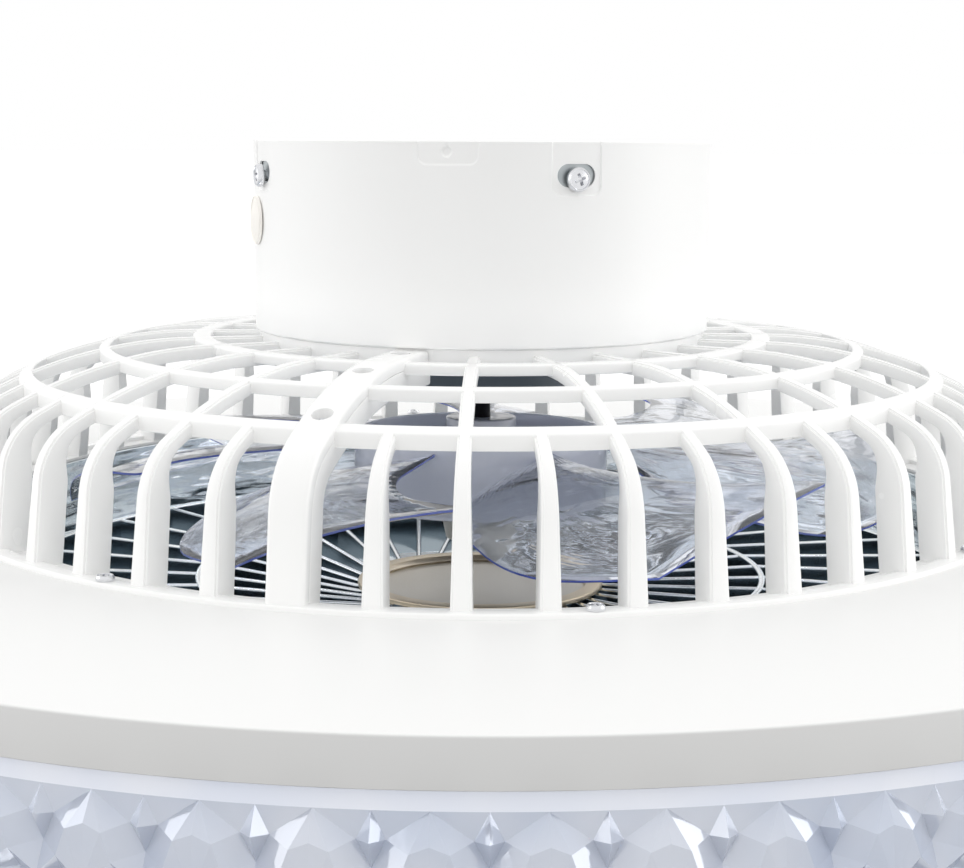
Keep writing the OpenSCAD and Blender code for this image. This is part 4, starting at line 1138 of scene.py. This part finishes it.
def makeOpal(s):
    low = bottom("opal_diffuser")
    high = top("opal_diffuser")
    outline = rounded([(s["opalInR"], low, 0.5), (s["opalOutR"], low, 0.5), (s["opalOutR"], high, 0.5),
                       (s["opalInR"], high, 0.5)])
    sheet = newObject("opalDiffuser", spin("opalDiffuser", outline, 240), opal)
    finishPiece(sheet, "housing", "opal_acrylic", "opal_diffuser")


def makeDuct(s):
    high = top("duct_ring")
    low = bottom("duct_ring")
    seat = bottom("lower_grille") - s["ductGap"]
    ledgeLow = seat - s["ledgeT"]
    r = s["ductR"]
    wall = r + s["ductWall"]
    under = high - s["ductFlangeT"]
    over = low + s["ductFlangeT"]
    outline = rounded([
        (r, high, 0.3), (s["ductFlangeR"], high, 0.3), (s["ductFlangeR"], under, 0.3), (wall, under, 0.5),
        (wall, over, 0.4), (s["ductFootR"], over, 0.3), (s["ductFootR"], low, 0.8), (r, low, 0.8),
        (r, ledgeLow, 0.4), (r - s["ledge"], ledgeLow, 0.5), (r - s["ledge"], seat, 0.3), (r, seat, 0.2)])
    duct = newObject("ductRing", spin("ductRing", outline, 300), chromeDuct)
    finishPiece(duct, "housing", "chrome_abs", "duct_ring")


# A fin: a straight upright strip that passes beside the shaft and dips to the inner ring
def finParts(s, low, high):
    def along(r):
        return math.sqrt(r * r - s["finOffset"] ** 2)

    start = along(s["innerR"] - s["finRoot"])
    dipEnd = along(s["discR"] + s["finDipGap"])
    middle = along(s["midR"])
    end = along(s["rimR"] - s["finEnd"])
    half = s["finT"] / 2
    loops = []
    for x, drop in ((start, s["dish"]), (dipEnd, s["dish"]), (middle, 0), (end, 0)):
        outline = rounded([(-half, low, 0.3), (half, low, 0.3), (half, high - drop, s["finTopEdge"]),
                           (-half, high - drop, s["finTopEdge"])], 4)
        loops.append([Vector((s["finOffset"] + across, -x, z)) * mm for across, z in outline])
    return loftParts(loops)


def makeGrille(s):
    low = bottom("lower_grille")
    high = top("lower_grille")
    fin = makeMesh("finPattern", *finParts(s, low + s["finInset"], high - s["finInset"]))
    fins = ringOf("grilleFins", fin, finChromePaintedShade, s["fins"], s["firstFin"])
    rows = [(s["rimR"], s["rimT"], high), (s["midR"] + s["midT"] / 2, s["midT"], high),
            (s["innerR"], s["innerT"], high - s["dish"])]
    rings = []
    for outer, width, ringTop in rows:
        corners = [(outer - width, low, 0.4), (outer, low, 0.4), (outer, ringTop, 0.8),
                   (outer - width, ringTop, 0.8)]
        rings.append(spinParts(rounded(corners, 4), 216))
    bars = newObject("grilleRings", makeMesh("grilleRings", *joinParts(rings)), finChromePaintedShade)
    grille = joinPieces("lowerGrille", [bars, fins])
    finishPiece(grille, "housing", "chrome_abs", "lower_grille")


def makeDisc(s):
    high = top("centre_disc")
    low = bottom("centre_disc")
    seat = high - s["discRimH"]
    flat = high - s["discSink"]
    r = s["discR"]
    dishR = r - s["discRim"]
    corners = [(dishR, flat, 0.8), (dishR + s["discFlareW"], high, 0.9), (r, high, 1.7), (r, seat, 0.2),
               (dishR + s["discSeatW"], seat, 0.3), (dishR + s["discFootW"], low, 0.6)]
    outline = [Vector((0, flat))] + rounded(corners, 5) + [Vector((0, low))]
    disc = newObject("centreDisc", spin("centreDisc", outline, 144), champagneMetal(dishR))
    finishPiece(disc, "housing", "champagne_metal", "centre_disc")


makeOpal(outletSizes)
makeDuct(outletSizes)
makeGrille(outletSizes)
makeDisc(outletSizes)
print("air outlet made")

# Motor can, shaft, hub, nut and blades

motorSizes = {
    "canR": 33,
    "flangeR": 40,
    "wall": 1.5,
    "bore": 5,
    "floorR": (14, 15),
    "footEdge": 3.2,
}


def makeMotorCan(s):
    low = bottom("motor_housing")
    high = top("motor_housing")
    r = s["canR"]
    wall = s["wall"]
    # The points at floorR keep the shading of the flat floor apart from that of its round edge
    floor = [(x, low, 0) for x in s["floorR"]]
    outline = rounded([(s["bore"], low, 0.3)] + floor + [
        (r, low, s["footEdge"]), (r, high - wall, 0.8), (s["flangeR"], high - wall, 0.3),
        (s["flangeR"], high, 0.3), (r - wall, high, 0.4), (r - wall, low + wall, 2),
        (s["bore"], low + wall, 0.3)], 4)
    can = newObject("motorCan", spin("motorCan", outline, 144), motorPaint)
    finishPiece(can, "housing", "motor_steel", "motor_housing")


hubSizes = {
    "r": 47,
    "wall": 2,
    "floorT": 2.5,
    "bossR": 13,
    "bossRise": 5,
    "bore": 3.55,
    "webs": 6,
    "firstWeb": 8,
    "webT": 1.6,
    "webDrop": 3,
    "webSink": 0.4,
    "webRoot": 0.6,
}


def makeHub(s):
    low = bottom("impeller_hub")
    high = top("impeller_hub")
    rim = high - s["bossRise"]
    floor = low + s["floorT"]
    r = s["r"]
    wall = r - s["wall"]
    shell = rounded([
        (s["bore"], low, 0.3), (r, low, 1.2), (r, rim, 0.8), (wall, rim, 0.8), (wall, floor, 1.2),
        (s["bossR"], floor, 0.8), (s["bossR"], high, 0.8), (s["bore"], high, 0.3)], 4)
    hub = newObject("hubShell", spin("hubShell", shell, 144), hubClear)
    t = s["webT"] / 2
    webTop = rim - s["webDrop"]
    webLow = floor - s["webSink"]
    section = rounded([(-t, webLow, 0.1), (t, webLow, 0.1), (t, webTop, 0.5), (-t, webTop, 0.5)])
    loops = [[Vector((x, -y, z)) * mm for x, z in section]
             for y in (s["bossR"] - s["webRoot"], wall + s["webRoot"])]
    web = makeMesh("webPattern", *loftParts(loops))
    webs = ringOf("hubWebs", web, hubClear, s["webs"], s["firstWeb"])
    joined = joinPieces("impellerHub", [hub, webs])
    finishPiece(joined, "rotor", "clear_blade", "impeller_hub")


nutSizes = {
    "r": 15,
    "footR": 12.2,
    "flangeH": 4,
}


def makeNut(s):
    high = top("hub_nut")
    low = bottom("hub_nut")
    corners = [(s["footR"], low, 1), (s["r"], high - s["flangeH"], 0.8), (s["r"], high, 0.6)]
    outline = [Vector((0, low))] + rounded(corners, 4) + [Vector((0, high))]
    nut = newObject("hubNut", spin("hubNut", outline, 96), greyNylon)
    finishPiece(nut, "rotor", "grey_nut", "hub_nut")


shaftSizes = {
    "r": 3.5,
    "edge": 0.6,
}


def makeShaft(s):
    low = bottom("motor_shaft")
    high = top("motor_shaft")
    corners = [(s["r"], low, s["edge"]), (s["r"], high, s["edge"])]
    outline = [Vector((0, low))] + rounded(corners) + [Vector((0, high))]
    shaft = newObject("motorShaft", spin("motorShaft", outline, 64), blackSteel)
    finishPiece(shaft, "rotor", "dark_shaft", "motor_shaft")


bladeSizes = {
    "count": 7,
    "rootR": 47.05,
    "tipR": 150,
    "rimZ": -106,
    "thick": 1.4,
    "edgeShare": 0.5,
    "crown": 3,
    "shares": (0, 0.17, 0.42, 0.71, 0.90, 1),
    "lowAngle": (24, 5, -4, 0, 8, 21),
    "lowFall": (4, 7.5, 13, 19.5, 24, 23),
    "highAngle": (31.5, 32, 34, 40.5, 49.5, 47),
    "highFall": (2, 3, 3.3, 3, 2, 1),
    "spanSteps": 48,
    "chordSteps": 24,
    "mapWidth": 60,
}


# A value of a smooth curve through stations
def curveAt(xs, ys, x):
    last = len(xs) - 1

    def slope(i):
        a = max(i - 1, 0)
        b = min(i + 1, last)
        return (ys[b] - ys[a]) / (xs[b] - xs[a])

    i = 0
    while i < last - 1 and x >= xs[i + 1]:
        i += 1
    h = xs[i + 1] - xs[i]
    t = (x - xs[i]) / h
    return ((2 * t ** 3 - 3 * t ** 2 + 1) * ys[i] + (t ** 3 - 2 * t ** 2 + t) * h * slope(i)
            + (3 * t ** 2 - 2 * t ** 3) * ys[i + 1] + (t ** 3 - t ** 2) * h * slope(i + 1))


def makeBlade(index, s):
    rows = s["spanSteps"]
    columns = s["chordSteps"]
    half = s["thick"] / 2
    middle = []
    for i in range(rows + 1):
        share = i / rows
        r = s["rootR"] + (s["tipR"] - s["rootR"]) * share
        low = curveAt(s["shares"], s["lowAngle"], share)
        high = curveAt(s["shares"], s["highAngle"], share)
        lowZ = curveAt(s["shares"], s["lowFall"], share)
        highZ = curveAt(s["shares"], s["highFall"], share)
        line = []
        for j in range(columns + 1):
            u = j / columns
            angle = 360 / s["count"] * index + low + (high - low) * u
            fall = lowZ + (highZ - lowZ) * u - s["crown"] * min(1, 3 * share) * 4 * u * (1 - u)
            line.append(polar(angle, r, s["rimZ"] - fall - half))
        middle.append(line)
    width = columns + 1
    sheet = (rows + 1) * width
    lifts = []
    for i in range(rows + 1):
        for j in range(columns + 1):
            share = s["edgeShare"] if j in (0, columns) or i == rows else 1
            lifts.append(Vector((0, 0, half * share * mm)))
    flat = [p for line in middle for p in line]
    points = [p + lift for p, lift in zip(flat, lifts)] + [p - lift for p, lift in zip(flat, lifts)]
    faces = []
    slots = []
    for i in range(rows):
        for j in range(columns):
            a = i * width + j
            faces.append((a, a + width, a + width + 1, a + 1))
            faces.append((sheet + a, sheet + a + 1, sheet + a + width + 1, sheet + a + width))
            slots += [0, 0]
    border = [(0, j) for j in range(columns)] + [(i, columns) for i in range(rows)]
    border += [(rows, j) for j in range(columns, 0, -1)] + [(i, 0) for i in range(rows, 0, -1)]
    for k, (i, j) in enumerate(border):
        m, n = border[(k + 1) % len(border)]
        a = i * width + j
        b = m * width + n
        faces.append((a, b, sheet + b, sheet + a))
        slots.append(1)
    name = "blade%d" % (index + 1)
    mesh = makeMesh(name, points, faces, 50, slots)
    # The map runs across the chord and along the span, in metres
    chart = mesh.uv_layers.new(name="sheet")
    span = s["tipR"] - s["rootR"]
    for corner in mesh.loops:
        i, j = divmod(corner.vertex_index % sheet, width)
        chart.uv[corner.index].vector = (s["mapWidth"] * mm * j / columns, span * mm * i / rows)
    blade = newObject(name, mesh, bladeClear, bladeEdge)
    finishPiece(blade, "rotor", "clear_blade", "blade_%d" % (index + 1))


makeMotorCan(motorSizes)
makeHub(hubSizes)
makeNut(nutSizes)
makeShaft(shaftSizes)
for bladeIndex in range(bladeSizes["count"]):
    makeBlade(bladeIndex, bladeSizes)
print("motor and impeller made")

# Screws with a cross recess, and the plug in the canopy's side

# Each kind of screw has its shank radius, head radius, head height and length
screwSizes = {
    "side": (2, 4, 2.6, 9.2),
    "foot": (1.5, 2.8, 1.9, 10.8),
    "conduit": (1.5, 2.8, 1.1, 4.8),
    "sideR": 82.7,
    "sideDrop": 12.2,
    "footCount": 8,
    "firstFoot": 9.69,
    "topShare": 0.82,
    "armShare": 0.56,
    "armWidthShare": 0.13,
    "armTurns": (20, 110),
    "armDepths": ((0.95, 1), (0.3, 0.5)),
}


def screwMesh(name, kind, place):
    s = screwSizes
    shankR, headR, headH, length = s[kind]
    outline = [Vector((0, -length))] + rounded([
        (shankR, -length, 0.3), (shankR, 0, 0), (headR, 0, 0.3), (headR, headH * 0.5, 0.4),
        (headR * s["topShare"], headH, 0.6)]) + [Vector((0, headH))]
    screw = newObject(name, spin(name, outline, 48))
    arm = headR * s["armShare"]
    width = headR * s["armWidthShare"]
    levels = [(headH + 1, 1)] + [(headH * height, share) for height, share in s["armDepths"]]
    loops = [[Vector((x * arm * share, y * width, z)) * mm for x, y in ((-1, -1), (1, -1), (1, 1), (-1, 1))]
             for z, share in levels]
    for turn in s["armTurns"]:
        cross = makeMesh("crossCutter", *turnParts(loftParts(loops), turn))
        carve(screw, newObject("crossCutter", cross))
    mesh = screw.data
    bpy.data.objects.remove(screw)
    mesh.transform(place)
    return mesh


def makeScrews(s):
    outwards = Matrix.Rotation(math.radians(90), 4, "X")
    place = Matrix.Translation(Vector((0, -s["sideR"], -s["sideDrop"])) * mm) @ outwards
    side = screwMesh("sideScrew", "side", place)
    screws = ringOf("canopyScrews", side, zincPlate, drumSizes["slots"], drumSizes["firstSlot"])
    finishPiece(screws, "housing", "zinc_screw", "canopy_screws")
    seat = polar(0, cageSizes["footR"], plateTop + cageSizes["flangeT"])
    foot = screwMesh("footScrew", "foot", Matrix.Translation(seat))
    screws = ringOf("cageFootScrews", foot, zincPlate, s["footCount"], s["firstFoot"])
    finishPiece(screws, "housing", "zinc_screw", "cage_foot_screws")
    c = conduitSizes
    parts = []
    for r in c["screws"]:
        place = polar(c["angle"], r, cageLine.height(r) - c["pocketDepth"])
        mesh = screwMesh("conduitScrew", "conduit", Matrix.Translation(place))
        parts.append(newObject("conduitScrew", mesh, zincPlate))
    joined = joinPieces("conduitScrews", parts)
    finishPiece(joined, "housing", "zinc_screw", "conduit_screws")


# Radii of the plug, each with its height over the drum's wall
plugSizes = {
    "foot": (6.1, -8),
    "barb": (6.7, -2),
    "neckLow": (5.9, -1.3),
    "neckHigh": (5.9, 0.05),
    "brim": (8.6, 0.05),
    "cap": (8.3, 1.7),
    "crown": (3, 2.2),
    "middle": (0, 2.25),
}


def makePlug(s):
    wall = drumSizes["r"]
    edges = {"foot": 0.5, "barb": 0.3, "neckLow": 0, "neckHigh": 0, "brim": 0.3, "cap": 1.4}
    corners = [(s[key][0], wall + s[key][1], edge) for key, edge in edges.items()]
    dome = [Vector((s[key][0], wall + s[key][1])) for key in ("crown", "middle")]
    outline = [Vector((0, wall + s["foot"][1]))] + rounded(corners, 5) + dome
    mesh = spin("sidePlug", outline, 64)
    turn = Matrix.Rotation(math.radians(drumSizes["plugAngle"]), 4, "Z")
    drop = Matrix.Translation((0, 0, -drumSizes["plugDrop"] * mm))
    mesh.transform(turn @ drop @ Matrix.Rotation(math.radians(90), 4, "X"))
    plug = newObject("sidePlug", mesh, creamRubber)
    finishPiece(plug, "housing", "cream_rubber", "side_plug")


makeScrews(screwSizes)
makePlug(plugSizes)
print("screws and plug made")

# Floor, world and lamps

stageSizes = {
    "floorGap": 0.3,
    "floorWidth": 60000,
    "skyLevel": 1.03,
    "lowLevel": 0.5,
    "deepLevel": 0.03,
    "deepFrom": (-0.34, -0.24),
    "horizon": (-0.1, 0.1),
    # Each lamp has its direction, its elevation, its strength and its width in the sky
    "lamps": {"rightBox": (95, 15, 0.75, 50), "leftBox": (-95, 15, 0.6, 60), "lowBox": (0, -89, 1.4, 20)},
}


# Light from the world: above the horizon, from the horizon to 17 degrees below it, and from deeper
def lightScene(s):
    world = bpy.data.worlds.new("studio")
    scene.world = world
    world.use_nodes = True
    tree = world.node_tree
    tree.nodes.clear()
    place = addNode(tree, "ShaderNodeTexCoord")
    split = addNode(tree, "ShaderNodeSeparateXYZ", {"Vector": place.outputs["Generated"]})
    below = addNode(tree, "ShaderNodeMapRange", {
        "Value": split.outputs["Z"], "From Min": s["deepFrom"][0], "From Max": s["deepFrom"][1],
        "To Min": s["deepLevel"], "To Max": s["lowLevel"]})
    above = addNode(tree, "ShaderNodeMapRange", {
        "Value": split.outputs["Z"], "From Min": s["horizon"][0], "From Max": s["horizon"][1],
        "To Min": 0, "To Max": s["skyLevel"] - s["lowLevel"]})
    level = addNode(tree, "ShaderNodeMath", {0: below.outputs["Result"], 1: above.outputs["Result"]})
    path = addNode(tree, "ShaderNodeLightPath")
    seen = anyOf(tree, path.outputs["Is Camera Ray"], path.outputs["Is Glossy Ray"],
                 path.outputs["Is Transmission Ray"])
    lit = addNode(tree, "ShaderNodeBackground", {"Color": (1, 1, 1, 1), "Strength": level.outputs["Value"]})
    white = addNode(tree, "ShaderNodeBackground", {"Color": (1, 1, 1, 1), "Strength": 1})
    mix = addNode(tree, "ShaderNodeMixShader", {0: seen, 1: lit.outputs["Background"],
                                                2: white.outputs["Background"]})
    addNode(tree, "ShaderNodeOutputWorld", {"Surface": mix.outputs["Shader"]})
    for name, (azimuth, rise, energy, width) in s["lamps"].items():
        box = bpy.data.lights.new(name, "SUN")
        box.energy = energy
        box.angle = math.radians(width)
        lamp = bpy.data.objects.new(name, box)
        height = math.tan(math.radians(rise))
        lamp.rotation_euler = polar(azimuth, 1, height).to_track_quat("Z", "Y").to_euler()
        scene.collection.objects.link(lamp)


# The floor lies just under the crystals. It isn't there from below, for bounced light, for shadow rays
# and in reflections.
def layFloor(s):
    material = bpy.data.materials.new("paleFloor")
    material.use_nodes = True
    tree = material.node_tree
    tree.nodes.clear()
    path = addNode(tree, "ShaderNodeLightPath")
    side = addNode(tree, "ShaderNodeNewGeometry")
    hidden = anyOf(tree, side.outputs["Backfacing"], path.outputs["Is Diffuse Ray"],
                   path.outputs["Is Shadow Ray"], path.outputs["Is Glossy Ray"])
    pale = addNode(tree, "ShaderNodeBsdfDiffuse", {"Color": (1, 1, 1, 1)})
    clear = addNode(tree, "ShaderNodeBsdfTransparent")
    mix = addNode(tree, "ShaderNodeMixShader", {0: hidden, 1: pale.outputs["BSDF"], 2: clear.outputs["BSDF"]})
    addNode(tree, "ShaderNodeOutputMaterial", {"Surface": mix.outputs["Shader"]})
    half = s["floorWidth"] / 2 * mm
    z = cadBounds[0].z - s["floorGap"] * mm
    mesh = bpy.data.meshes.new("floor")
    corners = [(-half, -half, z), (half, -half, z), (half, half, z), (-half, half, z)]
    mesh.from_pydata(corners, [], [(0, 1, 2, 3)])
    floor = newObject("floor", mesh, material)


lightScene(stageSizes)
layFloor(stageSizes)
scene.view_settings.view_transform = "Standard"
print("stage set")
